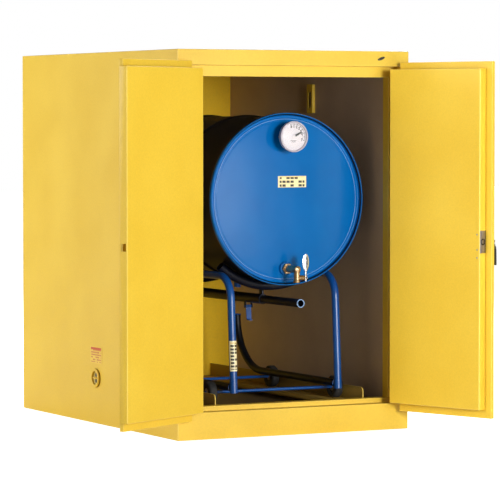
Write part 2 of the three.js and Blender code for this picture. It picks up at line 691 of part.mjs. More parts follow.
function addWheels() {
  const height = SUMP.rim + WHEEL.radius;
  for (const [end, y] of [['front', WHEEL.front], ['rear', WHEEL.rear]]) {
    const rod = bar([AXIS.x - AXLE.half, y, height], [AXIS.x + AXLE.half, y, height], AXLE.radius, 12);
    add(`axle_${end}`, rod, BLUE);
    for (const [name, side] of [['left', -1], ['right', 1]]) {
      const { radius, half } = WHEEL;
      const bore = AXLE.radius + 0.4;
      const outline = [
        [bore, -half],
        [radius - 5, -half],
        [radius, -half + 5],
        [radius, half - 5],
        [radius - 5, half],
        [bore, half],
        [bore, -half],
      ];
      const wheel = turned(outline).rotateZ(Math.PI / 2);
      wheel.translate(AXIS.x + side * WHEEL.track, y, height + 0.2);
      add(`wheel_${end}_${name}`, wheel, RUBBER);
    }
  }
}

// A sticker bent round the front of the left leg, following the leg's lean.
function addFrameLabel() {
  const { foot } = FRAME;
  const lean = legLean();
  const { bottom, top, spread, thick } = FRAME_LABEL;
  const inner = TRUCK_TUBE + FIT;
  const half = THREE.MathUtils.degToRad(spread);
  const [from, to] = [-Math.PI / 2 - half, -Math.PI / 2 + half];
  const arc = new THREE.Shape();
  arc.absarc(0, 0, inner + thick, from, to, false);
  arc.absarc(0, 0, inner, to, from, true);
  const options = { depth: top - bottom, bevelEnabled: false, curveSegments: 8 };
  const sticker = new THREE.ExtrudeGeometry(arc, options);
  const y = foot[0] + Math.tan(lean) * (bottom - foot[1]);
  sticker.rotateX(-lean).translate(AXIS.x - FRAME.half, y, bottom);
  add('frame_label', sticker, CREAM);
}

// ---------------------------------------------------------------- the whole object

addOuterShell();
addFrontFrame();
addLiner();
addTracks();
addVents();
addTrim();
addHingeFixedParts('left', -1);
addHingeFixedParts('right', 1);
addLeftDoor();
addRightDoor();
addDrumShell();
addDrumHeads();
addGauge();
addFaucet();
addSideFrames();
addSaddles();
addHandle();
addCatch();
addWheels();
addFrameLabel();

export default model;
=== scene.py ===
"""A yellow double-wall safety cabinet, doors open, holding a blue steel drum on a wheeled cradle truck.

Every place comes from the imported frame. Doors are built shut and then carried to where they stand at
rest. Metres, +Z up, doors towards -Y.
"""

import json
import math

import bmesh
import bpy
from mathutils import Matrix, Vector

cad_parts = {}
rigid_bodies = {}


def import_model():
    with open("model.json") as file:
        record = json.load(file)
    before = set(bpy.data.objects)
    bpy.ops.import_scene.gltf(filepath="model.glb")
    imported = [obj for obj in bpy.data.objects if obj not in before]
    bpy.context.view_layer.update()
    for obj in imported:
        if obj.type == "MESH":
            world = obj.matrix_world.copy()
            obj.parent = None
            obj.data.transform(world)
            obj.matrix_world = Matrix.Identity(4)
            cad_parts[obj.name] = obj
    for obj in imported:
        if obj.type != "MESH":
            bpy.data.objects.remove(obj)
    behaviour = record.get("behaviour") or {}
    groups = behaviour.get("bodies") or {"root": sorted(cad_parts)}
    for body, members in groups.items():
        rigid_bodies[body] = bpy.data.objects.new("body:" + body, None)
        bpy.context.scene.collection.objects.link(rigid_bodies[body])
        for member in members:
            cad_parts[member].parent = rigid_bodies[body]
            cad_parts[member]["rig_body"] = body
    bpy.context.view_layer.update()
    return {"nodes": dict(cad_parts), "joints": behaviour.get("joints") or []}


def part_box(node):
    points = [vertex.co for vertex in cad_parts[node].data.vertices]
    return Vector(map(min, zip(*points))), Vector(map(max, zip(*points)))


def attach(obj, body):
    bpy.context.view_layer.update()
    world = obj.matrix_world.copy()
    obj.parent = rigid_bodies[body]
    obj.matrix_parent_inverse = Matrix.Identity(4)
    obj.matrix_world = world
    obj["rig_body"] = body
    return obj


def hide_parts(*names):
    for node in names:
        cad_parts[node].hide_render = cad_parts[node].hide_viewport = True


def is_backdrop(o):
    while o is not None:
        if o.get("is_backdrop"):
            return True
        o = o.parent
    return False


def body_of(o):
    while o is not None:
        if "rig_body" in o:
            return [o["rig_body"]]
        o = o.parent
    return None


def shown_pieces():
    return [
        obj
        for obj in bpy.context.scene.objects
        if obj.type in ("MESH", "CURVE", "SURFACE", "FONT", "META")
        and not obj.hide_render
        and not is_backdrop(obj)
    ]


# ---------------------------------------------------------------- driving dimensions

SHEET = 0.0012  # thickness of the painted steel sheet
PANEL_FOLD = 0.003  # outer radius where cabinet panels turn a corner
DOOR_FOLD = 0.0022
FOLD_LENGTH = 0.1  # a face this long and narrower than the next number is part of a fold
FOLD_WIDTH = 0.0016
ROD_CLEARANCE = 0.0015
HUB_RADIUS = 0.0110  # of the door lever
ESCUTCHEON_RISE = 0.009
DOOR_LIP = 0.040  # how far the outer tray's return lip reaches in behind the pan
CORNER = 0.0015  # corner radius of the pressed door faces, seen from the front
ROUND_STEPS = 96

DRUM_SHEET = 0.0015
CHIME_BEAD = 0.0042
CHIME_WALL = 0.0078  # from the outside of the chime to the edge of the head
HOOP_HALF = 0.015
HIGHLIGHT_BEAD = 0.0008  # radius of the pale bead round the edge of the head, a painted highlight line
BOSS_RADIUS = 0.0228

TUBE = 0.0127
TUBE_WALL = 0.0022
LEG_FOOT = (-0.498, 0.133)
LEG_KNEE = (-0.478, 0.437)
RAIL_BEND = 0.080
REAR_BEND = 0.190
LOW_RAIL = 0.151
SADDLE_RADIUS = 0.294
SADDLE_TUBE = 0.0166
SADDLE_SPREAD = math.radians(40)
WELD = 0.0022

DIAL_NUMBERS = 8
DIAL_FIRST = math.radians(105)
DIAL_LAST = math.radians(-19)
DIAL_MINOR = 5

FLOOR_HALF = 30.0

# ---------------------------------------------------------------- the frame

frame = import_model()
JOINTS = {joint["name"]: joint for joint in frame["joints"]}
NODES = frame["nodes"]


def centre_of(node):
    low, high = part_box(node)
    return (low + high) / 2


def size_of(node):
    low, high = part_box(node)
    return high - low


class Door:
    """A door's own frame, in which it is shut; at its joint's highest value it really is."""

    def __init__(self, side):
        joint = JOINTS[f"{side}_door_hinge"]
        pivot = Vector(joint["pos_m"])
        turn = Matrix.Rotation(-math.radians(joint["range_deg"][1]), 4, Vector(joint["axis"]))
        self.side = side
        self.to_rest = Matrix.Translation(pivot) @ turn @ Matrix.Translation(-pivot)
        self.to_shut = self.to_rest.inverted()

    def box(self, node):
        """Lowest and highest corner of a node of this door while the door is shut."""
        points = [self.to_shut @ vertex.co for vertex in NODES[node].data.vertices]
        low = Vector(min(point[i] for point in points) for i in range(3))
        high = Vector(max(point[i] for point in points) for i in range(3))
        return low, high


LEFT = Door("left")
RIGHT = Door("right")

# ---------------------------------------------------------------- materials


def srgb(red, green, blue):
    """A display colour, 0 to 255, as the linear colour a shader takes."""
    linear = []
    for value in (red, green, blue):
        share = value / 255
        linear.append(share / 12.92 if share <= 0.04045 else ((share + 0.055) / 1.055) ** 2.4)
    return (*linear, 1.0)


class Recipe:
    """Short-hand for building one material's nodes."""

    def __init__(self, name, **shader_inputs):
        self.material = bpy.data.materials.new(name)
        self.material.use_nodes = True
        self.tree = self.material.node_tree
        self.shader = self.tree.nodes["Principled BSDF"]
        self.place = self.node("TexCoord").outputs["Object"]
        for key, value in shader_inputs.items():
            self.feed(self.shader.inputs[key.replace("_", " ")], value)

    def node(self, kind, inputs=None, **settings):
        made = self.tree.nodes.new(f"ShaderNode{kind}")
        for key, value in settings.items():
            setattr(made, key, value)
        for key, value in (inputs or {}).items():
            self.feed(made.inputs[key], value)
        return made

    def feed(self, socket, value):
        if isinstance(value, bpy.types.NodeSocket):
            self.tree.links.new(value, socket)
        else:
            socket.default_value = value

    def scaled(self, scale, place=None):
        return self.node("Mapping", {"Vector": place or self.place, "Scale": scale}).outputs["Vector"]

    def noise(self, scale, detail=3.0, place=None, roughness=0.5):
        inputs = {"Vector": place or self.place, "Scale": scale, "Detail": detail, "Roughness": roughness}
        return self.node("TexNoise", inputs).outputs["Fac"]

    def ramp(self, factor, *stops, interpolation="LINEAR"):
        made = self.node("ValToRGB", {"Fac": factor})
        made.color_ramp.interpolation = interpolation
        while len(made.color_ramp.elements) < len(stops):
            made.color_ramp.elements.new(1.0)
        for element, (position, colour) in zip(made.color_ramp.elements, stops):
            element.position = position
            element.color = colour
        return made.outputs["Color"]

    def grey(self, factor, low, high):
        """A factor from 0 to 1 carried to the range low to high."""
        made = self.node("MapRange", {"Value": factor, "To Min": low, "To Max": high})
        return made.outputs["Result"]

    def mix(self, factor, first, second, blend="MIX"):
        made = self.node("Mix", data_type="RGBA", blend_type=blend)
        colour_sockets = [socket for socket in made.inputs if socket.type == "RGBA"]
        self.feed(made.inputs["Factor"], factor)
        self.feed(colour_sockets[0], first)
        self.feed(colour_sockets[1], second)
        return next(socket for socket in made.outputs if socket.type == "RGBA")

    def bump(self, *layers):
        """Bump from (height, strength, distance) layers, stacked."""
        normal = None
        for height, strength, distance in layers:
            inputs = {"Height": height, "Strength": strength, "Distance": distance}
            if normal is not None:
                inputs["Normal"] = normal
            normal = self.node("Bump", inputs).outputs["Normal"]
        self.feed(self.shader.inputs["Normal"], normal)

    def math(self, operation, *values):
        return self.node("Math", dict(enumerate(values)), operation=operation).outputs["Value"]

    def inner(self, value, margin):
        """1 where a 0-to-1 coordinate is at least margin from both ends."""
        off = self.math("ABSOLUTE", self.math("SUBTRACT", value, 0.5))
        return self.math("LESS_THAN", off, 0.5 - margin)


def powder_coat(name, light, dark, roughness):
    """Baked powder paint: an orange-peel skin, slight pooling of tone and a worn sheen."""
    paint = Recipe(name)
    broad = paint.noise(5.0, 4.0)
    fine = paint.noise(190.0, 5.0, roughness=0.65)
    tone = paint.ramp(broad, (0.30, dark), (0.70, light))
    speckle = paint.ramp(fine, (0.35, (0.86, 0.86, 0.86, 1)), (0.65, (1, 1, 1, 1)))
    paint.feed(paint.shader.inputs["Base Color"], paint.mix(0.55, tone, speckle, "MULTIPLY"))
    paint.feed(paint.shader.inputs["Roughness"], paint.grey(broad, roughness - 0.05, roughness + 0.08))
    paint.feed(paint.shader.inputs["Specular IOR Level"], 0.45)
    peel = paint.noise(620.0, 2.0)
    waves = paint.noise(2.6, 1.0)
    paint.bump((peel, 0.18, 0.0006), (waves, 0.10, 0.02))
    return paint.material


def enamel(name, light, dark, roughness, gloss=0.32):
    """Glossy sprayed enamel over steel, with faint scuffs."""
    paint = Recipe(name)
    broad = paint.noise(7.0, 5.0)
    scuffs = paint.noise(60.0, 8.0, paint.scaled((1, 1, 6)), 0.7)
    tone = paint.ramp(broad, (0.32, dark), (0.68, light))
    paint.feed(paint.shader.inputs["Base Color"], tone)
    paint.feed(paint.shader.inputs["Roughness"], paint.grey(scuffs, roughness - 0.03, roughness + 0.06))
    paint.feed(paint.shader.inputs["Specular IOR Level"], gloss)
    peel = paint.noise(420.0, 2.0)
    waves = paint.noise(9.0, 1.5)
    paint.bump((peel, 0.10, 0.0005), (waves, 0.06, 0.01))
    return paint.material


def brushed_metal(name, light, dark, roughness, grain):
    """Metal with a directional grain; grain is how far the noise is stretched on each axis."""
    metal = Recipe(name, Metallic=1.0)
    streaks = metal.noise(40.0, 6.0, metal.scaled(grain), 0.6)
    stains = metal.noise(18.0, 4.0)
    tone = metal.ramp(streaks, (0.25, dark), (0.75, light))
    spots = metal.ramp(stains, (0.3, (0.82, 0.82, 0.80, 1)), (0.6, (1, 1, 1, 1)))
    metal.feed(metal.shader.inputs["Base Color"], metal.mix(0.6, tone, spots, "MULTIPLY"))
    metal.feed(metal.shader.inputs["Roughness"], metal.grey(streaks, roughness - 0.06, roughness + 0.10))
    metal.bump((streaks, 0.12, 0.0004))
    return metal.material


def rubber(name):
    """Moulded black rubber with patches of dusty bloom."""
    tyre = Recipe(name)
    grain = tyre.noise(300.0, 4.0)
    dust = tyre.noise(30.0, 5.0)
    tone = tyre.ramp(dust, (0.35, srgb(24, 24, 25)), (0.75, srgb(52, 50, 48)))
    tyre.feed(tyre.shader.inputs["Base Color"], tone)
    tyre.feed(tyre.shader.inputs["Roughness"], tyre.grey(grain, 0.62, 0.85))
    tyre.bump((grain, 0.25, 0.0006))
    return tyre.material


def satin_black(name):
    """Moulded or painted black with a fine texture."""
    black = Recipe(name)
    grain = black.noise(520.0, 3.0)
    tone = black.ramp(black.noise(20.0), (0.3, srgb(18, 18, 19)), (0.7, srgb(34, 34, 35)))
    black.feed(black.shader.inputs["Base Color"], tone)
    black.feed(black.shader.inputs["Roughness"], black.grey(grain, 0.38, 0.55))
    black.bump((grain, 0.2, 0.0004))
    return black.material


def printed_film(name, paper, heading, ink, across, origin, size, rows, columns, heading_share):
    """A sticker with a heading band over rows of ink dashes, none of them real letters."""
    film = Recipe(name, Roughness=0.42)
    corner = film.node("VectorMath", {0: film.place, 1: origin}, operation="SUBTRACT").outputs["Vector"]
    turned = film.node("SeparateXYZ", {"Vector": corner})
    along = film.math("DIVIDE", turned.outputs[across], size[0])
    up = film.math("DIVIDE", turned.outputs["Z"], size[1])
    column = film.math("MULTIPLY", along, columns)
    row = film.math("MULTIPLY", up, rows)
    cell = {"X": film.math("FLOOR", column), "Y": film.math("FLOOR", row)}
    chance = film.node("TexWhiteNoise", {"Vector": film.node("CombineXYZ", cell).outputs["Vector"]})
    printed = film.math("GREATER_THAN", chance.outputs["Value"], 0.22)
    dash = film.math("MULTIPLY", film.inner(film.math("FRACT", column), 0.10), printed)
    line = film.math("MULTIPLY", film.inner(film.math("FRACT", row), 0.20), dash)
    body = film.mix(line, paper, ink)
    body = film.mix(film.math("GREATER_THAN", up, 1.0 - heading_share), body, heading)
    inside = film.math("MULTIPLY", film.inner(along, 0.06), film.inner(up, 0.06))
    colour = film.mix(inside, paper, body)
    grain = film.noise(900.0, 2.0)
    worn = film.ramp(grain, (0.3, (0.92, 0.92, 0.92, 1)), (0.7, (1, 1, 1, 1)))
    film.feed(film.shader.inputs["Base Color"], film.mix(0.6, colour, worn, "MULTIPLY"))
    film.bump((grain, 0.08, 0.0003))
    return film.material


def dial_card(name):
    """Printed white card with a fine grain."""
    card = Recipe(name, Roughness=0.5)
    grain = card.noise(400.0, 3.0)
    tone = card.ramp(grain, (0.3, srgb(222, 216, 222)), (0.7, srgb(234, 228, 234)))
    card.feed(card.shader.inputs["Base Color"], tone)
    card.bump((grain, 0.05, 0.0002))
    return card.material


def lens(name):
    """Thin clear cover that keeps a soft reflection, with faint wipe marks."""
    clear = Recipe(name, Alpha=0.05, Specular_IOR_Level=0.35)
    wipes = clear.noise(30.0, 5.0, clear.scaled((1, 1, 3)))
    tone = clear.ramp(wipes, (0.3, srgb(238, 244, 246)), (0.7, srgb(255, 255, 255)))
    clear.feed(clear.shader.inputs["Base Color"], tone)
    clear.feed(clear.shader.inputs["Roughness"], clear.grey(wipes, 0.03, 0.12))
    return clear.material


YELLOW = powder_coat("yellow_powder_coat", srgb(238, 200, 62), srgb(232, 192, 54), 0.42)
# painted highlight: a paler yellow for the narrow faces of folds and plate edges, standing for the light they
# catch
FOLD_HIGHLIGHT_YELLOW = powder_coat("fold_highlight_coat", srgb(248, 216, 98), srgb(244, 207, 84), 0.40)
# painted light: a brighter, more saturated copy of the inner paint, for the lit back wall
LIT_INNER_YELLOW = powder_coat("inner_painted_light_coat", srgb(252, 204, 10), srgb(242, 192, 6), 0.65)
# painted shade: a dull brownish copy of the inner paint, for the shaded side walls and ceiling
SHADED_INNER_WALL = powder_coat("inner_wall_painted_shade", srgb(206, 184, 164), srgb(192, 170, 152), 0.55)
# painted shade: dark brown and dull mustard copies of the yellow paint for the floor pan and the tracks,
# which lie in the cabinet's shade
SHADED_SUMP_PAINT = powder_coat("sump_painted_shade", srgb(116, 96, 62), srgb(96, 80, 52), 0.60)
SHADED_TRACK_PAINT = powder_coat("track_painted_shade", srgb(172, 140, 62), srgb(158, 128, 54), 0.50)
# painted shade: a darker olive copy of the yellow for the vent's sunk disc
SHADED_VENT_YELLOW = powder_coat("vent_disc_painted_shade", srgb(196, 170, 60), srgb(178, 152, 50), 0.50)
BLUE = enamel("blue_enamel", srgb(2, 104, 178), srgb(1, 98, 170), 0.17, 0.12)
CHIME_BLUE = enamel("chime_enamel", srgb(12, 108, 184), srgb(8, 98, 172), 0.24, 0.40)
# painted highlight: a pale blue for bright lines where the blue catches the light
HIGHLIGHT_BLUE = enamel("pale_blue_highlight", srgb(150, 184, 226), srgb(120, 160, 212), 0.25, 0.50)
FRAME_BLUE = enamel("frame_blue_enamel", srgb(18, 82, 154), srgb(12, 70, 140), 0.28, 0.50)
DRUM_BLACK = enamel("drum_black_enamel", srgb(20, 22, 28), srgb(12, 13, 18), 0.42, 0.30)
NAVY = enamel("dark_blue_enamel", srgb(18, 24, 42), srgb(12, 16, 32), 0.38)
STEEL = brushed_metal("zinc_steel", srgb(196, 190, 196), srgb(136, 130, 134), 0.34, (9, 9, 1))
CHROME = brushed_metal("chrome_plate", srgb(226, 226, 228), srgb(200, 200, 202), 0.13, (1, 1, 3))
BRASS = brushed_metal("machined_brass", srgb(214, 184, 142), srgb(160, 130, 94), 0.34, (1, 8, 1))
RUBBER = rubber("black_rubber")
BLACK = satin_black("satin_black")
DIAL = dial_card("dial_card")
# painted reflection: the chrome gauge case gets a pale grey-lavender paint for what its chrome reflects
CASE_REFLECTION_GREY = enamel("case_painted_reflection", srgb(196, 190, 200), srgb(176, 170, 182), 0.32)
LENS = lens("clear_lens")

# ---------------------------------------------------------------- mesh helpers


def finish_piece(name, bm, body, material, stands_for=(), slot=None, angle=35):
    """Turns built geometry into a named piece that rides on a body."""
    bmesh.ops.recalc_face_normals(bm, faces=bm.faces)
    mesh = bpy.data.meshes.new(name)
    bm.to_mesh(mesh)
    bm.free()
    mesh.polygons.foreach_set("use_smooth", [True] * len(mesh.polygons))
    mesh.set_sharp_from_angle(angle=math.radians(angle))
    piece = bpy.data.objects.new(name, mesh)
    bpy.context.scene.collection.objects.link(piece)
    piece.data.materials.append(material)
    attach(piece, body)
    if stands_for:
        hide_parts(*stands_for)
    return piece


def basis(direction):
    """Two unit vectors square to a direction and to each other."""
    along = Vector(direction).normalized()
    helper = Vector((0, 0, 1)) if abs(along.z) < 0.9 else Vector((1, 0, 0))
    first = along.cross(helper).normalized()
    return first, along.cross(first).normalized()


def rounded(points, radius, steps=4, closed=False):
    """A line of points with its corners turned into arcs; radius is one number or one per point."""
    points = [Vector(point) for point in points]
    count = len(points)
    result = []
    for i, point in enumerate(points):
        size = radius[i] if isinstance(radius, (list, tuple)) else radius
        if size <= 0 or (not closed and i in (0, count - 1)):
            result.append(point)
            continue
        back = points[i - 1] - point
        ahead = points[(i + 1) % count] - point
        half = back.angle(ahead) / 2
        cut = min(size / math.tan(half), 0.49 * back.length, 0.49 * ahead.length)
        centre = point + (back.normalized() + ahead.normalized()).normalized() * cut / math.cos(half)
        start = point + back.normalized() * cut - centre
        end = point + ahead.normalized() * cut - centre
        sweep = start.angle(end)
        for k in range(steps + 1):
            share = k / steps
            first = start * math.sin((1 - share) * sweep)
            second = end * math.sin(share * sweep)
            result.append(centre + (first + second) / math.sin(sweep))
    return result


def bridge(bm, first, second, closed=True):
    """Quads, or triangles at a pole, between two rings of vertices."""
    count = max(len(first), len(second))
    for k in range(count if closed else count - 1):
        corners = []
        for ring, index in ((first, k), (first, k + 1), (second, k + 1), (second, k)):
            vertex = ring[index % len(ring)]
            if vertex not in corners:
                corners.append(vertex)
        if len(corners) > 2:
            bm.faces.new(corners)


def lathe_into(bm, profile, origin, direction, closed=False, steps=ROUND_STEPS):
    """Adds a body turned about a line; profile is (radius, height) pairs, radius 0 on the line."""
    origin = Vector(origin)
    along = Vector(direction).normalized()
    first, second = basis(along)
    rings = []
    for radius, height in profile:
        centre = origin + along * height
        if radius < 1e-7:
            rings.append([bm.verts.new(centre)])
            continue
        ring = []
        for k in range(steps):
            angle = 2 * math.pi * k / steps
            ring.append(bm.verts.new(centre + (first * math.cos(angle) + second * math.sin(angle)) * radius))
        rings.append(ring)
    for one, two in zip(rings, rings[1:]):
        bridge(bm, one, two)
    if closed:
        bridge(bm, rings[-1], rings[0])


def lathe(name, profile, origin, direction, body, material, closed=False, steps=ROUND_STEPS, **options):
    bm = bmesh.new()
    lathe_into(bm, profile, origin, direction, closed, steps)
    return finish_piece(name, bm, body, material, **options)


def tube_into(bm, points, radius, wall=0.0, sides=28):
    """Adds a round bar along a line of points, or an open-ended pipe when it has a wall."""
    points = [Vector(point) for point in points]
    tangents = []
    for i, point in enumerate(points):
        ahead = points[min(i + 1, len(points) - 1)] - point
        back = point - points[max(i - 1, 0)]
        tangents.append((ahead.normalized() + back.normalized()).normalized())
    across, _ = basis(tangents[0])
    outer, bore = [], []
    for point, tangent in zip(points, tangents):
        across = (across - tangent * across.dot(tangent)).normalized()
        other = tangent.cross(across)
        for rings, size in ((outer, radius), (bore, radius - wall)):
            ring = []
            for k in range(sides):
                angle = 2 * math.pi * k / sides
                ring.append(point + (across * math.cos(angle) + other * math.sin(angle)) * size)
            rings.append(ring)
    made = [[bm.verts.new(place) for place in ring] for ring in outer]
    for one, two in zip(made, made[1:]):
        bridge(bm, one, two)
    if not wall:
        bm.faces.new(made[0])
        bm.faces.new(made[-1])
        return
    inside = [[bm.verts.new(place) for place in ring] for ring in bore]
    for one, two in zip(inside, inside[1:]):
        bridge(bm, one, two)
    bridge(bm, made[0], inside[0])
    bridge(bm, made[-1], inside[-1])


def block_into(bm, low, high, radius=0.0008, segments=2, matrix=None):
    """Adds a box with rounded edges."""
    low, high = Vector(low), Vector(high)
    made = bmesh.ops.create_cube(bm, size=1.0)["verts"]
    for vertex in made:
        for axis in range(3):
            vertex.co[axis] = high[axis] if vertex.co[axis] > 0 else low[axis]
    edges = list({edge for vertex in made for edge in vertex.link_edges})
    result = bmesh.ops.bevel(
        bm, geom=edges, offset=radius, segments=segments, profile=0.5, affect="EDGES", clamp_overlap=True
    )
    if matrix:
        verts = {vertex for face in result["faces"] for vertex in face.verts} | {
            vertex for vertex in made if vertex.is_valid
        }
        bmesh.ops.transform(bm, matrix=matrix, verts=list(verts))


def block(name, low, high, body, material, radius=0.0008, **options):
    bm = bmesh.new()
    block_into(bm, low, high, radius)
    return finish_piece(name, bm, body, material, **options)


def rectangle_ring(bm, limits, depth, corner, place, steps=5):
    """A ring of vertices round a rectangle (u0, u1, v0, v1) with rounded corners."""
    u0, u1, v0, v1 = limits
    corners = [(u1, v0), (u1, v1), (u0, v1), (u0, v0)]
    line = rounded([(u, v, 0) for u, v in corners], max(corner, 0.0004), steps, closed=True)
    return [bm.verts.new(place(point.x, point.y, depth)) for point in line]


def pressed(bm, rings, place, fill_last=True, hole=None):
    """A pressed sheet through rectangular rings of (limits, depth, corner radius)."""
    made = [rectangle_ring(bm, limits, depth, corner, place) for limits, depth, corner in rings]
    for one, two in zip(made, made[1:]):
        bridge(bm, one, two)
    if not fill_last:
        return
    if hole is None:
        bm.faces.new(made[-1])
        return
    centre, radius = hole
    depth = rings[-1][1]
    edge = []
    for k in range(48):
        angle = 2 * math.pi * k / 48
        u = centre[0] + radius * math.cos(angle)
        v = centre[1] + radius * math.sin(angle)
        edge.append(bm.verts.new(place(u, v, depth)))
    edges = [bm.edges.new((edge[k], edge[(k + 1) % 48])) for k in range(48)]
    last = made[-1]
    edges += [bm.edges.get((last[k], last[(k + 1) % len(last)])) for k in range(len(last))]
    bmesh.ops.triangle_fill(bm, use_beauty=True, edges=edges)


def inset(limits, amount):
    u0, u1, v0, v1 = limits
    return (u0 + amount, u1 - amount, v0 + amount, v1 - amount)


def fold(limits, corner, radius, depth, towards, steps=4, opening=False):
    """Rings of one 90-degree fold, from the side wall round to the face it turns into.

    depth is where the face lies, towards is the sign in which the wall runs back from it, and an
    opening folds outwards from its hole instead of inwards from its rim.
    """
    rings = []
    sign = -1 if opening else 1
    for k in range(steps + 1):
        angle = math.pi / 2 * k / steps
        amount = radius * (1 - math.cos(angle)) * sign
        back = radius * (1 - math.sin(angle)) * towards
        rings.append((inset(limits, amount), depth + back, corner - amount))
    return rings


def thicken(piece, offset, thickness=SHEET):
    """Gives a pressed sheet its thickness; offset -1 puts it behind the faces, +1 in front."""
    modifier = piece.modifiers.new("thickness", "SOLIDIFY")
    modifier.thickness = thickness
    modifier.offset = offset
    modifier.use_even_offset = True
    flatten = piece.modifiers.new("flat_faces", "WEIGHTED_NORMAL")
    flatten.keep_sharp = True
    return piece


def drill(piece, cutters):
    """Cuts boxes or round bars out of a piece; each cutter fills an empty mesh with one closed solid."""
    tools = []
    for number, fill in enumerate(cutters):
        bm = bmesh.new()
        fill(bm)
        bmesh.ops.recalc_face_normals(bm, faces=bm.faces)
        mesh = bpy.data.meshes.new(f"cutter_{number}")
        bm.to_mesh(mesh)
        bm.free()
        tool = bpy.data.objects.new(f"cutter_{number}", mesh)
        bpy.context.scene.collection.objects.link(tool)
        modifier = piece.modifiers.new(tool.name, "BOOLEAN")
        modifier.object = tool
        modifier.operation = "DIFFERENCE"
        modifier.solver = "EXACT"
        tools.append(tool)
    bpy.context.view_layer.update()
    solid = piece.evaluated_get(bpy.context.evaluated_depsgraph_get())
    piece.data = bpy.data.meshes.new_from_object(solid)
    piece.modifiers.clear()
    for tool in tools:
        bpy.data.objects.remove(tool)


def round_cutter(start, end, radius):
    return lambda bm: tube_into(bm, [start, end], radius, 0.0, 32)


def light_folds(piece, paint):
    """Puts a paler paint, a painted highlight, on the long, narrow faces of each fold."""
    mesh = piece.data
    mesh.materials.append(paint)
    for polygon in mesh.polygons:
        corners = [mesh.vertices[index].co for index in polygon.vertices]
        longest = max((a - b).length for a, b in zip(corners, corners[1:] + corners[:1]))
        narrow = len(corners) == 4 and polygon.area / longest < FOLD_WIDTH
        if longest > FOLD_LENGTH and narrow:
            polygon.material_index = 1


def flat_plate(name, outlines, depth, place, body, material, bevel=0.0006, **options):
    """A plate cut from flat sheet, with softened edges; the first outline is the edge, others are holes."""
    curve = bpy.data.curves.new(name, "CURVE")
    curve.dimensions = "2D"
    curve.fill_mode = "BOTH"
    curve.extrude = depth / 2 - bevel
    curve.bevel_depth = bevel
    curve.bevel_resolution = 2
    curve.offset = -bevel
    for outline in outlines:
        spline = curve.splines.new("POLY")
        spline.points.add(len(outline) - 1)
        for point, (u, v) in zip(spline.points, outline):
            point.co = (u, v, 0, 1)
        spline.use_cyclic_u = True
    carrier = bpy.data.objects.new(name, curve)
    bpy.context.scene.collection.objects.link(carrier)
    bpy.context.view_layer.update()
    evaluated = carrier.evaluated_get(bpy.context.evaluated_depsgraph_get())
    bm = bmesh.new()
    bm.from_mesh(evaluated.to_mesh())
    evaluated.to_mesh_clear()
    bpy.data.objects.remove(carrier)
    bpy.data.curves.remove(curve)
    bmesh.ops.remove_doubles(bm, verts=bm.verts, dist=1e-6)
    for vertex in bm.verts:
        vertex.co = place(*vertex.co)
    return finish_piece(name, bm, body, material, **options)


def rounded_outline(u0, u1, v0, v1, radius, steps=6):
    line = rounded([(u0, v0, 0), (u1, v0, 0), (u1, v1, 0), (u0, v1, 0)], radius, steps, closed=True)
    return [(point.x, point.y) for point in line]


def circle(u, v, radius, steps=32):
    angles = [2 * math.pi * k / steps for k in range(steps)]
    return [(u + radius * math.cos(a), v + radius * math.sin(a)) for a in angles]


def keep(node, material, bevel=0.0):
    """A CAD node that stays, with its proper material and softened edges."""
    piece = NODES[node]
    piece.data.materials.clear()
    piece.data.materials.append(material)
    if bevel:
        modifier = piece.modifiers.new("edges", "BEVEL")
        modifier.width = bevel
        modifier.segments = 2
        modifier.limit_method = "ANGLE"
        modifier.angle_limit = math.radians(40)
        modifier.harden_normals = True
        piece.data.polygons.foreach_set("use_smooth", [True] * len(piece.data.polygons))
        piece.data.set_sharp_from_angle(angle=math.radians(40))


def shut_place(door):
    """Places (x, z, y) of a door's shut frame where the door stands at rest."""
    return lambda x, z, y: door.to_rest @ Vector((x, y, z))


# ---------------------------------------------------------------- cabinet shell


def side_panel(side):
    """A flat side with all four edges turned in, and a round hole for its vent."""
    node = f"side_panel_{side}"
    low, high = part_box(node)
    vent = centre_of(f"vent_{side}")
    sign = -1 if side == "left" else 1
    face = low.x if side == "left" else high.x
    limits = (low.y, high.y, low.z, high.z)
    rings = fold(limits, PANEL_FOLD, PANEL_FOLD, face, -sign)
    bm = bmesh.new()
    hole = ((vent.y, vent.z), size_of(f"vent_{side}").y / 2 - 0.006)
    pressed(bm, rings, lambda u, v, depth: Vector((depth, u, v)), hole=hole)
    piece = finish_piece(f"side_skin_{side}", bm, "cabinet", YELLOW, (node,), "yellow_paint")
    light_folds(piece, FOLD_HIGHLIGHT_YELLOW)
    return thicken(piece, -1)


def wrap_panel(name, node, limits, depth, place, towards):
    """A sheet whose top edge turns over a corner, lying between the two side panels."""
    bm = bmesh.new()
    rings = []
    steps = 4
    for k in range(steps + 1):
        angle = math.pi / 2 * k / steps
        amount = PANEL_FOLD * (1 - math.cos(angle))
        back = PANEL_FOLD * (1 - math.sin(angle)) * towards
        u0, u1, v0, v1 = limits
        rings.append(((u0, u1, v0 + amount, v1 - amount), depth + back, 0.0004))
    pressed(bm, rings, place)
    piece = finish_piece(name, bm, "cabinet", YELLOW, (node,), "yellow_paint")
    return thicken(piece, -1)


def cabinet_shell():
    left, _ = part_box("side_panel_left")
    _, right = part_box("side_panel_right")
    inside = PANEL_FOLD + 0.0002
    x0, x1 = left.x + inside, right.x - inside
    for side in ("left", "right"):
        side_panel(side)
    wrap_panel(
        "back_skin",
        "back_panel",
        (x0, x1, left.z, right.z),
        right.y,
        lambda u, v, depth: Vector((u, depth, v)),
        -1,
    )
    bm = bmesh.new()
    limits = (x0, x1, left.y + inside, right.y - inside)
    rings = [(limits, right.z - PANEL_FOLD, 0.0004), (limits, right.z, 0.0004)]
    pressed(bm, rings, lambda u, v, depth: Vector((u, v, depth)))
    top = finish_piece("top_skin", bm, "cabinet", YELLOW, ("top_panel",), "yellow_paint")
    thicken(top, -1)
    keep("bottom_panel", YELLOW, 0.0005)


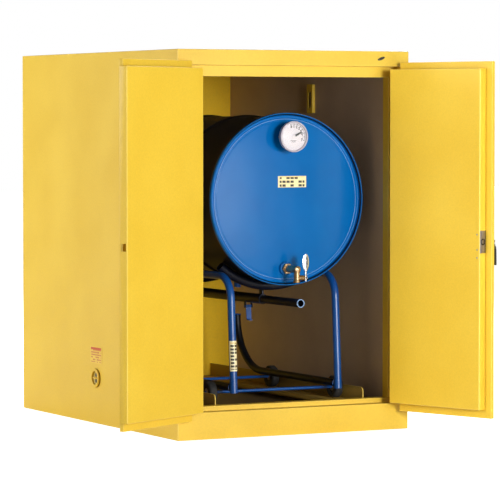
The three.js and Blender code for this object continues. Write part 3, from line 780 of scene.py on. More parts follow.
def doorway():
    """The front sheet, folded in round the doorway to a stop ledge and a throat, all one pressing."""
    low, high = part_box("front_frame")
    pan_low, pan_high = LEFT.box("door_pan_left")
    _, right_pan_high = RIGHT.box("door_pan_right")
    side_low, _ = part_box("side_panel_left")
    front = low.y
    back = high.y
    gap = 0.004
    clear = 0.003
    opening = (pan_low.x - gap, right_pan_high.x + gap, pan_low.z - clear, pan_high.z + 0.010)
    stop = pan_high.y + 0.015
    way = (opening[0] + 0.030, opening[1] - 0.030, opening[2] + 0.015, opening[3] - 0.036)
    outside = (side_low.x + PANEL_FOLD + 0.0002, -side_low.x - PANEL_FOLD - 0.0002, low.z, high.z)
    rings = []
    for k in range(5):
        angle = math.pi / 2 * k / 4
        amount = PANEL_FOLD * (1 - math.cos(angle))
        drop = PANEL_FOLD * (1 - math.sin(angle))
        u0, u1, v0, v1 = outside
        rings.append(((u0, u1, v0 + amount, v1 - amount), front + drop, 0.0004))
    mouth = fold(opening, 0.002, 0.002, front, 1, opening=True)
    rings += reversed(mouth)
    ledge = fold(opening, 0.002, 0.002, stop, -1)
    rings += ledge
    inner_edge = fold(way, 0.002, 0.002, stop, 1, opening=True)
    rings += reversed(inner_edge)
    rings.append((way, back, 0.002))
    bm = bmesh.new()
    pressed(bm, rings, lambda u, v, depth: Vector((u, depth, v)), fill_last=False)
    piece = finish_piece("doorway_frame", bm, "cabinet", YELLOW, ("front_frame",), "yellow_paint")
    light_folds(piece, FOLD_HIGHLIGHT_YELLOW)
    thicken(piece, -1)
    drill(piece, rod_holes(opening[2], opening[3]))


def rod_holes(bottom, top):
    """Round holes for the two lock rods, in the door's shut place, through sheets at two heights."""
    low, high = RIGHT.box("latch_rod_top")
    x, y = (low.x + high.x) / 2, (low.y + high.y) / 2
    radius = (high.x - low.x) / 2 + ROD_CLEARANCE
    reach = Vector((0, 0, 0.004))
    holes = []
    for z in (bottom, top):
        place = Vector((x, y, z))
        holes.append(round_cutter(place - reach, place + reach, radius))
    return holes


def liner():
    """The inner walls; the side walls and the ceiling are in a dull brownish copy of the paint as painted
    shade, duller than the back, which is in a brighter, more saturated copy as painted light.
    """
    for node, paint in (
        ("liner_left", SHADED_INNER_WALL),
        ("liner_right", SHADED_INNER_WALL),
        ("liner_back", LIT_INNER_YELLOW),
        ("liner_ceiling", SHADED_INNER_WALL),
    ):
        keep(node, paint, 0.0004)
    # painted shade: the floor pan in a dark brown copy of the yellow
    keep("sump_pan", SHADED_SUMP_PAINT, 0.0006)


def tracks():
    """A flat running deck beside a slotted upright web with a rounded nose."""
    for side, sign in (("left", -1), ("right", 1)):
        low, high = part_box(f"track_{side}")
        web_x = low.x if side == "left" else high.x
        thick = 0.003
        deck_z = low.z + 0.0317
        front = low.y + 0.030
        nose = 0.016
        flange = [
            (low.y, low.z),
            (high.y, low.z),
            (high.y, high.z),
            (low.y, high.z),
        ]
        line = rounded([(y, z, 0) for y, z in flange], [0.001, 0.001, 0.002, nose], 8, closed=True)
        outlines = [[(point.x, point.y) for point in line]]
        slots = 8
        pitch = (high.y - low.y - 0.06) / slots
        for k in range(slots):
            start = low.y + 0.03 + pitch * k + 0.02
            outlines.append(rounded_outline(start, start + pitch - 0.04, low.z + 0.005, low.z + 0.024, 0.008))
        x = web_x - sign * thick / 2
        place = lambda u, v, w, x=x: Vector((x + w, u, v))
        # painted shade: the web and the deck in a dull, darker copy of the yellow
        web = flat_plate(
            f"track_web_{side}",
            outlines,
            thick,
            place,
            "cabinet",
            SHADED_TRACK_PAINT,
            stands_for=(f"track_{side}",),
            slot="yellow_paint",
        )
        # painted highlight: the web's cut edge faces take the paler fold paint
        web.data.materials.append(FOLD_HIGHLIGHT_YELLOW)
        for polygon in web.data.polygons:
            polygon.material_index = 1 if abs(polygon.normal.x) < 0.9 else 0
        inner_x = high.x if side == "left" else low.x
        edges = sorted((web_x - sign * (thick + 0.0001), inner_x))
        bm = bmesh.new()
        block_into(bm, (edges[0], front, deck_z - 0.003), (edges[1], high.y, deck_z), 0.001)
        lip = (inner_x, inner_x + sign * 0.003)
        block_into(bm, (min(lip), front, deck_z - 0.014), (max(lip), high.y, deck_z - 0.0032), 0.0008)
        finish_piece(f"track_deck_{side}", bm, "cabinet", SHADED_TRACK_PAINT, slot="yellow_paint")


def vents():
    """A screwed-in vent: flanged ring over a black rubber ring that is painted shadow under its rim, sunk
    disc, two sockets and a grip bar.
    """
    for side, sign in (("left", -1), ("right", 1)):
        node = f"vent_{side}"
        low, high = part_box(node)
        centre = (low + high) / 2
        face = low.x if side == "left" else high.x
        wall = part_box(f"side_panel_{side}")[0 if side == "left" else 1].x
        proud = abs(face - wall)
        radius = size_of(node).y / 2
        origin = Vector((face, centre.y, centre.z))
        out = Vector((sign, 0, 0))
        ring = rounded(
            [
                (radius * 0.70, -proud - 0.0055, 0),
                (radius * 0.77, -proud - 0.0055, 0),
                (radius * 0.77, 0.0022 - proud, 0),
                (radius, 0.0022 - proud, 0),
                (radius, -0.0012, 0),
                (radius * 0.93, 0, 0),
                (radius * 0.76, 0, 0),
                (radius * 0.70, -0.0012, 0),
            ],
            [0.0004, 0.0004, 0, 0.0006, 0.0012, 0.0008, 0.0010, 0.0008],
            3,
            closed=True,
        )
        lathe(
            f"vent_ring_{side}",
            [(point.x, point.y) for point in ring],
            origin,
            out,
            "cabinet",
            YELLOW,
            closed=True,
            steps=72,
            stands_for=(node,),
            slot="yellow_paint",
        )
        # painted shadow: a black ring under the proud rim shows as the dark crescent of its shadow
        shadow_ring = [
            (radius * 0.78, 0.0003 - proud),
            (radius * 0.985, 0.0003 - proud),
            (radius * 0.985, 0.0020 - proud),
            (radius * 0.78, 0.0020 - proud),
        ]
        lathe(
            f"vent_gasket_{side}",
            shadow_ring,
            origin,
            out,
            "cabinet",
            RUBBER,
            closed=True,
            steps=72,
            slot="black_rubber",
        )
        vent_inside(side, sign, face, centre, radius)


def vent_inside(side, sign, face, centre, radius):
    """The sunk disc of a vent, its grip bar and two flat black discs painted as the shade in its sockets."""
    origin = Vector((face, centre.y, centre.z))
    out = Vector((sign, 0, 0))
    disc = [
        (0, -0.0115),
        (radius * 0.69, -0.0115),
        (radius * 0.69, -0.0070),
        (radius * 0.64, -0.0062),
        (radius * 0.58, -0.0070),
        (0, -0.0070),
    ]
    # painted shade: the sunk disc in a darker copy of the yellow
    lathe(f"vent_disc_{side}", disc, origin, out, "cabinet", SHADED_VENT_YELLOW, steps=64, slot="yellow_paint")
    bm = bmesh.new()
    x = sorted((face - sign * 0.0072, face - sign * 0.0010))
    arm = radius * 0.52
    low = (x[0], centre.y - arm, centre.z - 0.0020)
    block_into(bm, low, (x[1], centre.y + arm, centre.z + 0.0020), 0.0008)
    finish_piece(f"vent_grip_{side}", bm, "cabinet", YELLOW, slot="yellow_paint")
    # painted shade: flat black discs stand for the dark sockets either side of the grip
    socket_shade = [(0, 0.0003), (0.0050, 0.0003), (0.0060, 0.0006), (0.0068, 0.0003), (0.0068, -0.0005), (0, -0.0005)]
    for label, offset in (("upper", 0.0098), ("lower", -0.0098)):
        start = Vector((face - sign * 0.0070, centre.y, centre.z + offset))
        lathe(f"vent_socket_{label}_{side}", socket_shade, start, out, "cabinet", BLACK, steps=32, slot="black_paint")


def vent_hood():
    """The cover over the right vent inside: a pressed box open at top and bottom, with a slotted face."""
    low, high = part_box("vent_baffle")
    reach = high.x - low.x
    face = low.x + SHEET / 2
    y0, y1 = low.y, high.y
    outline = rounded_outline(y0, y1, low.z, high.z, 0.002)
    window = rounded_outline(low.y + 0.012, high.y - 0.012, low.z + 0.018, high.z - 0.026, 0.004)
    flat_plate(
        "vent_hood_face",
        [outline, window],
        SHEET,
        lambda u, v, w: Vector((face + w, u, v)),
        "cabinet",
        YELLOW,
        bevel=0.0004,
        stands_for=("vent_baffle",),
        slot="yellow_paint",
    )
    for label, y in (("front", y0), ("rear", y1 - SHEET)):
        block(
            f"vent_hood_{label}",
            (low.x + SHEET, y, low.z + 0.001),
            (low.x + reach, y + SHEET, high.z - 0.001),
            "cabinet",
            YELLOW,
            0.0004,
            slot="yellow_paint",
        )


def header_plug():
    """A small oval plug pressed into the header, tilted."""
    low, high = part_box("header_plug")
    middle = (low + high) / 2
    tilt = Matrix.Rotation(-0.35, 4, "Y")
    profile = [(0, -0.0029), (0.90, -0.0029), (1.0, -0.0022), (1.0, 0.0), (0.0, 0.0)]
    bm = bmesh.new()
    lathe_into(bm, [(r, h * 1000) for r, h in profile], (0, 0, 0), (0, 1, 0), steps=48)
    scale = Matrix.Diagonal((0.0138, 0.001, 0.0044, 1))
    back = Vector((middle.x, high.y, middle.z))
    bm.transform(Matrix.Translation(back) @ tilt @ scale)
    finish_piece("header_oval_plug", bm, "cabinet", BLACK, ("header_plug",), "black_plastic")


def hinges():
    for side in ("left", "right"):
        keep(f"hinge_frame_leaf_{side}", YELLOW, 0.0003)
        keep(f"hinge_pin_{side}", STEEL)
        keep(f"hinge_door_leaf_{side}", YELLOW, 0.0003)


# ---------------------------------------------------------------- doors


def door_shell(door):
    """Outer tray and inner pan of one door, each a pressed sheet with folded edges and a return lip."""
    place = shut_place(door)
    body = f"{door.side}_door"
    low, high = door.box(f"door_tray_{door.side}")
    limits = (low.x, high.x, low.z, high.z)
    rim = high.y - SHEET
    tray = [(inset(limits, DOOR_LIP), rim, CORNER)]
    tray += reversed(fold(limits, CORNER, DOOR_FOLD / 2, rim, -1))
    tray += fold(limits, CORNER, DOOR_FOLD, low.y, 1)
    low, high = door.box(f"door_pan_{door.side}")
    limits = (low.x, high.x, low.z, high.z)
    pan = [(limits, low.y + 0.0003, CORNER)]
    pan += fold(limits, CORNER, DOOR_FOLD, high.y, -1)
    for name, rings, node in (("door_skin", tray, "door_tray"), ("door_liner", pan, "door_pan")):
        bm = bmesh.new()
        pressed(bm, rings, place)
        stands_for = (f"{node}_{door.side}",)
        piece = finish_piece(f"{name}_{door.side}", bm, body, YELLOW, stands_for, "yellow_paint")
        light_folds(piece, FOLD_HIGHLIGHT_YELLOW)
        thicken(piece, -1)
    drill(piece, pan_holes(door, low, high))


def pan_holes(door, low, high):
    """Holes in an inner pan: the left one takes the bolt, the right one lets out the bolt and both rods."""
    bolt_low, bolt_high = RIGHT.box("latch_bolt")
    bolt = (bolt_low + bolt_high) / 2
    if door is LEFT:
        half = Vector((0.012, 0.010, 0.012))
        middle = Vector((high.x, bolt.y, bolt.z))
        return [lambda bm: block_into(bm, middle - half, middle + half, 0.0004, matrix=door.to_rest)]
    rods = []
    for end, edge in (("top", high.z), ("bottom", low.z)):
        rod_low, rod_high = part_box(f"latch_rod_{end}")
        rod = (rod_low + rod_high) / 2
        radius = (rod_high.x - rod_low.x) / 2 + ROD_CLEARANCE
        reach = Vector((0, 0, 0.006))
        place = Vector((rod.x, rod.y, edge))
        rods.append(round_cutter(place - reach, place + reach, radius))
    start = door.to_rest @ Vector((low.x - 0.006, bolt.y, bolt.z))
    end = door.to_rest @ Vector((low.x + 0.006, bolt.y, bolt.z))
    radius = (bolt_high.z - bolt_low.z) / 2 + ROD_CLEARANCE
    return [*rods, round_cutter(start, end, radius)]


def door_rivets(door, free_x, heights):
    """Small rivet heads on the inner face, near the free edge."""
    _, high = door.box(f"door_pan_{door.side}")
    bm = bmesh.new()
    start = high.y - 0.0005
    profile = [(0.0034, 0), (0.0034, 0.0002), (0.0028, 0.0006), (0.0015, 0.0010), (0, 0.0011)]
    direction = door.to_rest.to_3x3() @ Vector((0, 1, 0))
    for z in heights:
        origin = door.to_rest @ Vector((free_x, start, z))
        lathe_into(bm, profile, origin, direction, steps=20)
    finish_piece(f"door_rivets_{door.side}", bm, f"{door.side}_door", STEEL, slot="bare_steel")


def lock_parts():
    """Strike plate with its bolt on the right door's free edge, the sliding rods, and a black strip along the
    plate's edge that is painted shadow.
    """
    door = RIGHT
    low, high = door.box("lock_plate")
    bolt_low, bolt_high = door.box("latch_bolt")
    bolt = (bolt_low + bolt_high) / 2
    outlines = [
        rounded_outline(low.y, high.y, low.z, high.z, 0.002),
        circle(bolt.y, bolt.z, (bolt_high.z - bolt_low.z) / 2 + 0.0009),
    ]
    thick = high.x - low.x
    middle = (low.x + high.x) / 2
    flat_plate(
        "lock_strike_plate",
        outlines,
        thick,
        lambda u, v, w: door.to_rest @ Vector((middle + w, u, v)),
        "right_door",
        STEEL,
        bevel=0.0003,
        stands_for=("lock_plate",),
        slot="bare_steel",
    )
    inward = door.to_rest.to_3x3() @ Vector((-1, 0, 0))
    start = door.to_rest @ Vector((low.x + 0.0002, bolt.y, bolt.z))
    bolt_radius = (bolt_high.z - bolt_low.z) / 2
    collar = [(bolt_radius + 0.0009, 0.0), (bolt_radius + 0.0009, 0.0012), (bolt_radius + 0.0042, 0.0010)]
    collar.append((bolt_radius + 0.0046, 0.0))
    lathe(
        "lock_collar",
        collar,
        start,
        inward,
        "right_door",
        BLACK,
        closed=True,
        steps=40,
        slot="black_paint",
    )
    # painted shadow: a black strip along one side of the strike plate stands for the dark line of shadow
    # beside it
    edge = bmesh.new()
    shadow_low = (low.x - 0.0004, low.y + 0.0002, low.z)
    shadow_high = (high.x, low.y + 0.0034, high.z)
    block_into(edge, shadow_low, shadow_high, matrix=door.to_rest)
    finish_piece("lock_plate_shadow_strip", edge, "right_door", BLACK, slot="black_paint")
    screws = bmesh.new()
    head = [(0.0030, 0), (0.0030, 0.0004), (0.0022, 0.0010), (0.0012, 0.0010), (0.0008, 0.0004), (0, 0.0004)]
    for z in (low.z + 0.008, high.z - 0.008):
        lathe_into(screws, head, door.to_rest @ Vector((low.x, bolt.y, z)), inward, steps=20)
    finish_piece("lock_plate_screws", screws, "right_door", STEEL, slot="bare_steel")
    radius = (bolt_high.z - bolt_low.z) / 2
    nose = rounded([(0, 0, 0), (radius, 0, 0), (radius, 0.02, 0)], [0, 0.0022, 0], 5)
    length = bolt_high.x - bolt_low.x
    profile = [(point.x, point.y) for point in nose] + [(radius, length - 0.0006), (0, length - 0.0006)]
    start = door.to_rest @ Vector((bolt_low.x, bolt.y, bolt.z))
    lathe(
        "lock_bolt",
        profile,
        start,
        door.to_rest.to_3x3() @ Vector((1, 0, 0)),
        "latch_bolt",
        STEEL,
        steps=40,
        stands_for=("latch_bolt",),
        slot="bare_steel",
    )
    for end in ("top", "bottom"):
        node = f"latch_rod_{end}"
        low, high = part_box(node)
        centre = (low + high) / 2
        size = (high.x - low.x) / 2
        tip = 0.002
        rod = [(0, 0), (size - tip, 0), (size, tip), (size, high.z - low.z - tip)]
        rod += [(size - tip, high.z - low.z), (0, high.z - low.z)]
        origin = Vector((centre.x, centre.y, low.z))
        lathe(
            f"lock_rod_{end}",
            rod,
            origin,
            (0, 0, 1),
            node,
            STEEL,
            steps=24,
            stands_for=(node,),
            slot="bare_steel",
        )


def door_handle():
    """Raised black escutcheon, a chrome hub and a black lever hanging from it."""
    door = RIGHT
    low, high = door.box("escutcheon")
    front = low.y - ESCUTCHEON_RISE
    middle_y = (front + high.y) / 2
    joint = JOINTS["latch_lever_turn"]
    hub = door.to_shut @ Vector(joint["pos_m"])
    outline = rounded_outline(low.x, high.x, low.z, high.z, 0.010, 8)
    flat_plate(
        "handle_escutcheon",
        [outline, circle(hub.x, hub.z, HUB_RADIUS + 0.0006)],
        high.y - front,
        lambda u, v, w: door.to_rest @ Vector((u, middle_y + w, v)),
        "right_door",
        BLACK,
        bevel=0.0010,
        stands_for=("escutcheon",),
        slot="black_paint",
    )
    lever_low, _ = door.box("latch_lever")
    bm = bmesh.new()
    forward = door.to_rest.to_3x3() @ Vector((0, -1, 0))
    start = low.y - 0.0006
    reach = start - lever_low.y
    knob = [(0, 0.0), (HUB_RADIUS - 0.0008, 0.0), (HUB_RADIUS, 0.0008), (HUB_RADIUS, reach * 0.52)]
    knob += [(HUB_RADIUS - 0.0012, reach * 0.57), (0, reach * 0.58)]
    lathe_into(bm, knob, door.to_rest @ Vector((hub.x, start, hub.z)), forward, steps=48)
    finish_piece("door_lever_hub", bm, "latch_lever", CHROME, slot="chrome", angle=40)
    bm = bmesh.new()
    line = [
        (hub.x, start - reach * 0.42, hub.z + 0.002),
        (hub.x, lever_low.y + 0.0045, hub.z - 0.022),
        (hub.x, lever_low.y + 0.0040, lever_low.z + 0.003),
    ]
    path = rounded(line, [0, 0.014, 0], 8)
    sections = []
    for i, point in enumerate(path):
        share = i / (len(path) - 1)
        ahead = path[min(i + 1, len(path) - 1)] - path[max(i - 1, 0)]
        normal = Vector((1, 0, 0)).cross(ahead).normalized()
        wide = 0.0064 - 0.0012 * math.sin(math.pi * share)
        sections.append(lever_section(bm, door, point, normal, wide, 0.0033))
    for one, two in zip(sections, sections[1:]):
        bridge(bm, one, two)
    bm.faces.new(sections[0])
    bm.faces.new(sections[-1])
    finish_piece("door_lever", bm, "latch_lever", BLACK, ("latch_lever",), "black_paint", angle=40)


def lever_section(bm, door, centre, normal, wide, thick):
    """One rounded cross-section of the door lever."""
    ring = []
    for k in range(20):
        angle = 2 * math.pi * k / 20
        across = math.copysign(abs(math.cos(angle)) ** 0.6, math.cos(angle)) * wide
        over = math.copysign(abs(math.sin(angle)) ** 0.6, math.sin(angle)) * thick
        point = centre + Vector((across, 0, 0)) + normal * over
        ring.append(bm.verts.new(door.to_rest @ point))
    return ring


# ---------------------------------------------------------------- drum


def wave(radius, centre, half, height, steps=12):
    """A smooth rolled hoop as (radius, y) pairs."""
    pairs = []
    for k in range(steps + 1):
        share = k / steps
        bulge = (1 - math.cos(2 * math.pi * share)) / 2
        pairs.append((radius + height * bulge, centre - half + 2 * half * share))
    return pairs


def drum():
    """Black shell with two rolled hoops, and at each end a blue curled chime that holds the head."""
    low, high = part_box("drum_shell")
    axis = (low + high) / 2
    outer = (high.x - low.x) / 2
    body = SADDLE_RADIUS - SADDLE_TUBE - 0.0006
    length = high.y - low.y
    end = 0.0195
    outside = [(body, end)]
    for share in (1 / 3, 2 / 3):
        outside += wave(body, length * share, HOOP_HALF, 0.0055)
    outside += [(body, length - end)]
    inside = [(body - DRUM_SHEET, length - end), (body - DRUM_SHEET, end)]
    lathe(
        "drum_body",
        outside + inside,
        Vector((axis.x, low.y, axis.z)),
        (0, 1, 0),
        "truck",
        DRUM_BLACK,
        closed=True,
        steps=160,
        stands_for=("drum_shell",),
        slot="black_paint",
    )
    for label, origin_y, direction in (("front", low.y, 1), ("rear", high.y, -1)):
        origin = Vector((axis.x, origin_y, axis.z))
        drum_end(label, origin, direction, outer, body)


def drum_end(label, origin, direction, outer, body):
    """A chime ring with a curled bead, and the pressed head inside it."""
    bead = []
    for k in range(9):
        angle = math.pi * k / 8
        across = CHIME_BEAD * (1 + math.cos(angle)) / 2
        bead.append((outer - across, CHIME_BEAD * (1 - math.sin(angle))))
    ring = [(outer - CHIME_BEAD, 0.0150), *bead, (outer, 0.0125), (outer - 0.0012, 0.0150)]
    ring += [(body + 0.0006, 0.0196), (body - 0.0002, 0.0190)]
    inside = outer - CHIME_BEAD
    # painted shade: a black ring inside the chime stands for the dark groove in shade between the bead and
    # the head
    groove_shade = [(inside - 0.0002, 0.0042), (inside, 0.0155), (inside - 0.0036, 0.0164), (inside - 0.0030, 0.0090)]
    lathe(
        f"drum_chime_{label}",
        ring,
        origin,
        (0, direction, 0),
        "truck",
        CHIME_BLUE,
        closed=True,
        steps=160,
        slot="blue_paint",
    )
    lathe(
        f"drum_seam_{label}",
        groove_shade,
        origin,
        (0, direction, 0),
        "truck",
        DRUM_BLACK,
        closed=True,
        steps=160,
        slot="black_paint",
    )
    rim = outer - CHIME_WALL
    plate = 0.0148
    # painted highlight: a pale blue bead round the head's edge stands for the bright line at its fold
    edge = [(rim - 0.0130 + HIGHLIGHT_BEAD * u, plate + 0.0002 + HIGHLIGHT_BEAD * v) for u, v in circle(0, 0, 1, 8)]
    lathe(
        f"drum_edge_{label}",
        edge,
        origin,
        (0, direction, 0),
        "truck",
        HIGHLIGHT_BLUE,
        closed=True,
        steps=160,
        slot="blue_paint",
    )
    face = rounded(
        [
            (rim, 0.0080, 0),
            (rim - 0.0010, 0.0165, 0),
            (rim - 0.0095, 0.0165, 0),
            (rim - 0.0125, plate, 0),
            (rim - 0.0190, plate, 0),
            (rim - 0.0215, plate - 0.0008, 0),
            (0, plate - 0.0004, 0),
        ],
        [0, 0.0030, 0.0015, 0.0012, 0.0015, 0.002, 0],
        4,
    )
    profile = [(point.x, point.y) for point in face]
    profile += [(0, plate + 0.0012), (rim - 0.0130, plate + 0.0012)]
    profile += [(rim - 0.0100, 0.0178), (rim - 0.0004, 0.0178)]
    lathe(
        f"drum_lid_{label}",
        profile,
        origin,
        (0, direction, 0),
        "truck",
        BLUE,
        closed=True,
        steps=160,
        stands_for=(f"drum_head_{label}",),
        slot="blue_paint",
    )


def faucet_line():
    """Where the faucet's barrel leaves the drum: x, and the height of its axis."""
    low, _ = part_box("faucet_body")
    plug = JOINTS["faucet_lever_turn"]["pos_m"]
    return low.x + 0.013, plug[2] + 0.028


def drum_fittings():
    """Pressed bung boss round the faucet, and the collar under the gauge."""
    low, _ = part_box("drum_shell")
    x, z = faucet_line()
    face = low.y + 0.015
    boss = rounded(
        [
            (0.0140, 0.001, 0),
            (0.0140, 0.0130, 0),
            (0.0200, 0.0130, 0),
            (BOSS_RADIUS, 0.0100, 0),
            (BOSS_RADIUS + 0.0004, 0.001, 0),
        ],
        [0, 0.0008, 0.0012, 0.0012, 0],
        3,
    )
    profile = [(point.x, point.y) for point in boss]
    middle = (x, face, z)
    lathe("drum_bung_boss", profile, middle, (0, -1, 0), "truck", CHIME_BLUE, steps=64, slot="blue_paint")
    gauge_middle = centre_of("gauge_case")
    collar = rounded(
        [(0.0142, 0.001, 0), (0.0142, 0.0095, 0), (0.0230, 0.0095, 0), (0.0245, 0.001, 0)],
        [0, 0.0008, 0.0016, 0],
        3,
    )
    profile = [(point.x, point.y) for point in collar]
    origin = (gauge_middle.x, face, gauge_middle.z)
    lathe("drum_vent_collar", profile, origin, (0, -1, 0), "truck", CHIME_BLUE, steps=64, slot="blue_paint")


def gauge():
    """Round case with a rolled bezel, a printed dial, a pointer and a clear cover."""
    low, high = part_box("gauge_case")
    centre = (low + high) / 2
    radius = (high.x - low.x) / 2
    front = low.y
    origin = Vector((centre.x, front, centre.z))
    case = rounded(
        [
            (radius - 0.0055, 0.0080, 0),
            (radius - 0.0055, 0.0010, 0),
            (radius - 0.0030, 0.0, 0),
            (radius - 0.0004, 0.0014, 0),
            (radius, 0.0060, 0),
            (radius - 0.0016, 0.0100, 0),
            (radius - 0.0030, 0.0110, 0),
            (radius - 0.0034, 0.0225, 0),
            (radius - 0.0100, 0.0262, 0),
            (0.0145, 0.0262, 0),
            (0.0120, 0.0300, 0),
            (0.0120, high.y - front - 0.001, 0),
            (0, high.y - front - 0.001, 0),
        ],
        [0, 0.0010, 0.0016, 0.0016, 0.003, 0.001, 0.001, 0.003, 0.003, 0.002, 0, 0, 0],
        4,
    )
    profile = [(point.x, point.y) for point in case] + [(0, 0.0112), (radius - 0.0055, 0.0112)]
    # painted reflection: the chrome case in pale grey-lavender paint
    lathe(
        "gauge_body",
        profile,
        origin,
        (0, 1, 0),
        "truck",
        CASE_REFLECTION_GREY,
        closed=True,
        steps=112,
        stands_for=("gauge_case",),
        slot="chrome",
    )
    dial_radius = radius - 0.0058
    dial = [(0, 0.0082), (dial_radius - 0.0006, 0.0082), (dial_radius, 0.0086)]
    dial += [(dial_radius, 0.0098), (0, 0.0098)]
    lathe(
        "gauge_card",
        dial,
        origin,
        (0, 1, 0),
        "truck",
        DIAL,
        steps=96,
        stands_for=("gauge_dial",),
        slot="dial_white",
    )
    cover = [
        (0, 0.0008),
        (dial_radius * 0.5, 0.0010),
        (dial_radius - 0.001, 0.0016),
        (dial_radius, 0.0024),
        (dial_radius - 0.001, 0.0030),
        (0, 0.0026),
    ]
    lathe(
        "gauge_cover",
        cover,
        origin,
        (0, 1, 0),
        "truck",
        LENS,
        steps=96,
        stands_for=("gauge_lens",),
        slot="clear_lens",
    )
    gauge_print(origin, dial_radius)
    gauge_pointer(origin)


def gauge_print(origin, dial_radius):
    """Ticks and numbers round the dial, from the top left clockwise."""
    bm = bmesh.new()
    face = origin.y + 0.00815
    spaces = DIAL_NUMBERS - 1
    for k in range(spaces * DIAL_MINOR + 1):
        angle = DIAL_FIRST + (DIAL_LAST - DIAL_FIRST) * k / (spaces * DIAL_MINOR)
        major = k % DIAL_MINOR == 0
        length = 0.0056 if major else 0.0034
        wide = 0.0010 if major else 0.0005
        turn = Matrix.Translation((origin.x, face, origin.z)) @ Matrix.Rotation(-angle, 4, "Y")
        outside = dial_radius - 0.0022
        block_into(bm, (outside - length, -0.0001, -wide), (outside, 0.0001, wide), 0.00005, 1, turn)
    for drop, half in ((0.0135, 0.0110), (0.0175, 0.0070)):
        z = origin.z - drop
        bar_low = (origin.x - half, face - 0.0001, z - 0.0008)
        bar_high = (origin.x + half, face + 0.0001, z + 0.0008)
        block_into(bm, bar_low, bar_high, 0.00005, 1)
    finish_piece("gauge_ticks", bm, "truck", BLACK, slot="black_paint")
    for k in range(DIAL_NUMBERS):
        angle = DIAL_FIRST + (DIAL_LAST - DIAL_FIRST) * k / spaces
        text = bpy.data.curves.new(f"gauge_number_{k}", "FONT")
        text.body = str(k)
        text.size = 0.0112
        text.offset = 0.0006
        text.align_x = "CENTER"
        text.align_y = "CENTER"
        text.extrude = 0.00008
        number = bpy.data.objects.new(f"gauge_number_{k}", text)
        bpy.context.scene.collection.objects.link(number)
        reach = dial_radius - 0.0128
        number.location = (origin.x + reach * math.cos(angle), face, origin.z + reach * math.sin(angle))
        number.rotation_euler = (math.pi / 2, 0, 0)
        number.data.materials.append(BLACK)
        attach(number, "truck")


def gauge_pointer(origin):
    """A tapered pointer with a pale hub, standing where its CAD node stands."""
    joint = JOINTS["gauge_needle_turn"]
    pivot = Vector(joint["pos_m"])
    corners = [vertex.co for vertex in NODES["gauge_needle"].data.vertices]
    far = max(corners, key=lambda point: (point - Vector((pivot.x, point.y, pivot.z))).length)
    angle = math.atan2(far.z - pivot.z, far.x - pivot.x)
    turn = Matrix.Translation((pivot.x, origin.y + 0.0060, pivot.z)) @ Matrix.Rotation(-angle, 4, "Y")
    half = [(-0.0060, 0.0020), (0.0, 0.0026), (0.0070, 0.0036), (0.0270, 0.0030), (0.0330, 0.0010)]
    outline = [(u, -v) for u, v in half] + list(reversed(half))
    flat_plate(
        "gauge_pointer",
        [outline],
        0.0009,
        lambda u, v, w: turn @ Vector((u, w, v)),
        "gauge_needle",
        BLACK,
        bevel=0.0002,
        stands_for=("gauge_needle",),
        slot="black_paint",
    )
    hub = [(0, -0.0018), (0.0050, -0.0016), (0.0064, -0.0008), (0.0064, 0.0012), (0, 0.0012)]
    start = (pivot.x, origin.y + 0.0060, pivot.z)
    lathe("gauge_hub", hub, start, (0, 1, 0), "gauge_needle", DIAL, steps=32, slot="dial_white")


def faucet():
    """Brass faucet: hex shank, barrel, down spout with a lip, and a cross plug with a chrome lever."""
    low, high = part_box("faucet_body")
    x, z = faucet_line()
    shell_low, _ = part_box("drum_shell")
    plug = Vector(JOINTS["faucet_lever_turn"]["pos_m"])
    face = shell_low.y + 0.002
    reach = face - plug.y
    bm = bmesh.new()
    shank = [
        (0, -0.018),
        (0.0128, -0.018),
        (0.0128, 0.0),
        (0.0122, 0.004),
        (0.0122, reach - 0.018),
        (0.0128, reach - 0.014),
        (0.0128, reach),
        (0.0110, reach + 0.0065),
        (0.0060, reach + 0.0095),
        (0, reach + 0.0100),
    ]
    lathe_into(bm, shank, (x, face, z), (0, -1, 0), steps=48)
    hexagon = [(0, 0.0), (0.0176, 0.0), (0.0190, 0.0012), (0.0190, 0.0100), (0.0176, 0.0112), (0, 0.0112)]
    lathe_into(bm, hexagon, (x, face, z), (0, -1, 0), steps=6)
    drop = z - low.z
    bore = 0.0082
    spout = rounded(
        [
            (bore, drop - 0.022, 0),
            (bore, drop, 0),
            (0.0112, drop, 0),
            (0.0116, drop - 0.006, 0),
            (0.0102, drop - 0.010, 0),
            (0.0104, 0.012, 0),
            (0.0120, 0.0, 0),
        ],
        [0, 0.0006, 0.0010, 0.0012, 0.002, 0.004, 0],
        3,
    )
    lathe_into(bm, [(p.x, p.y) for p in spout], (x, plug.y + 0.0015, z), (0, 0, -1), steps=48)
    housing_end = high.x - x - 0.0002
    housing = rounded(
        [
            (0, 0.0, 0),
            (0.0088, 0.0, 0),
            (0.0088, housing_end - 0.006, 0),
            (0.0078, housing_end - 0.004, 0),
            (0.0078, housing_end, 0),
            (0, housing_end, 0),
        ],
        [0, 0, 0.001, 0.0006, 0.001, 0],
        3,
    )
    lathe_into(bm, [(p.x, p.y) for p in housing], (x, plug.y, plug.z), (1, 0, 0), steps=40)
    finish_piece("faucet_brass", bm, "truck", BRASS, ("faucet_body",), "brass")
    faucet_handle(plug)


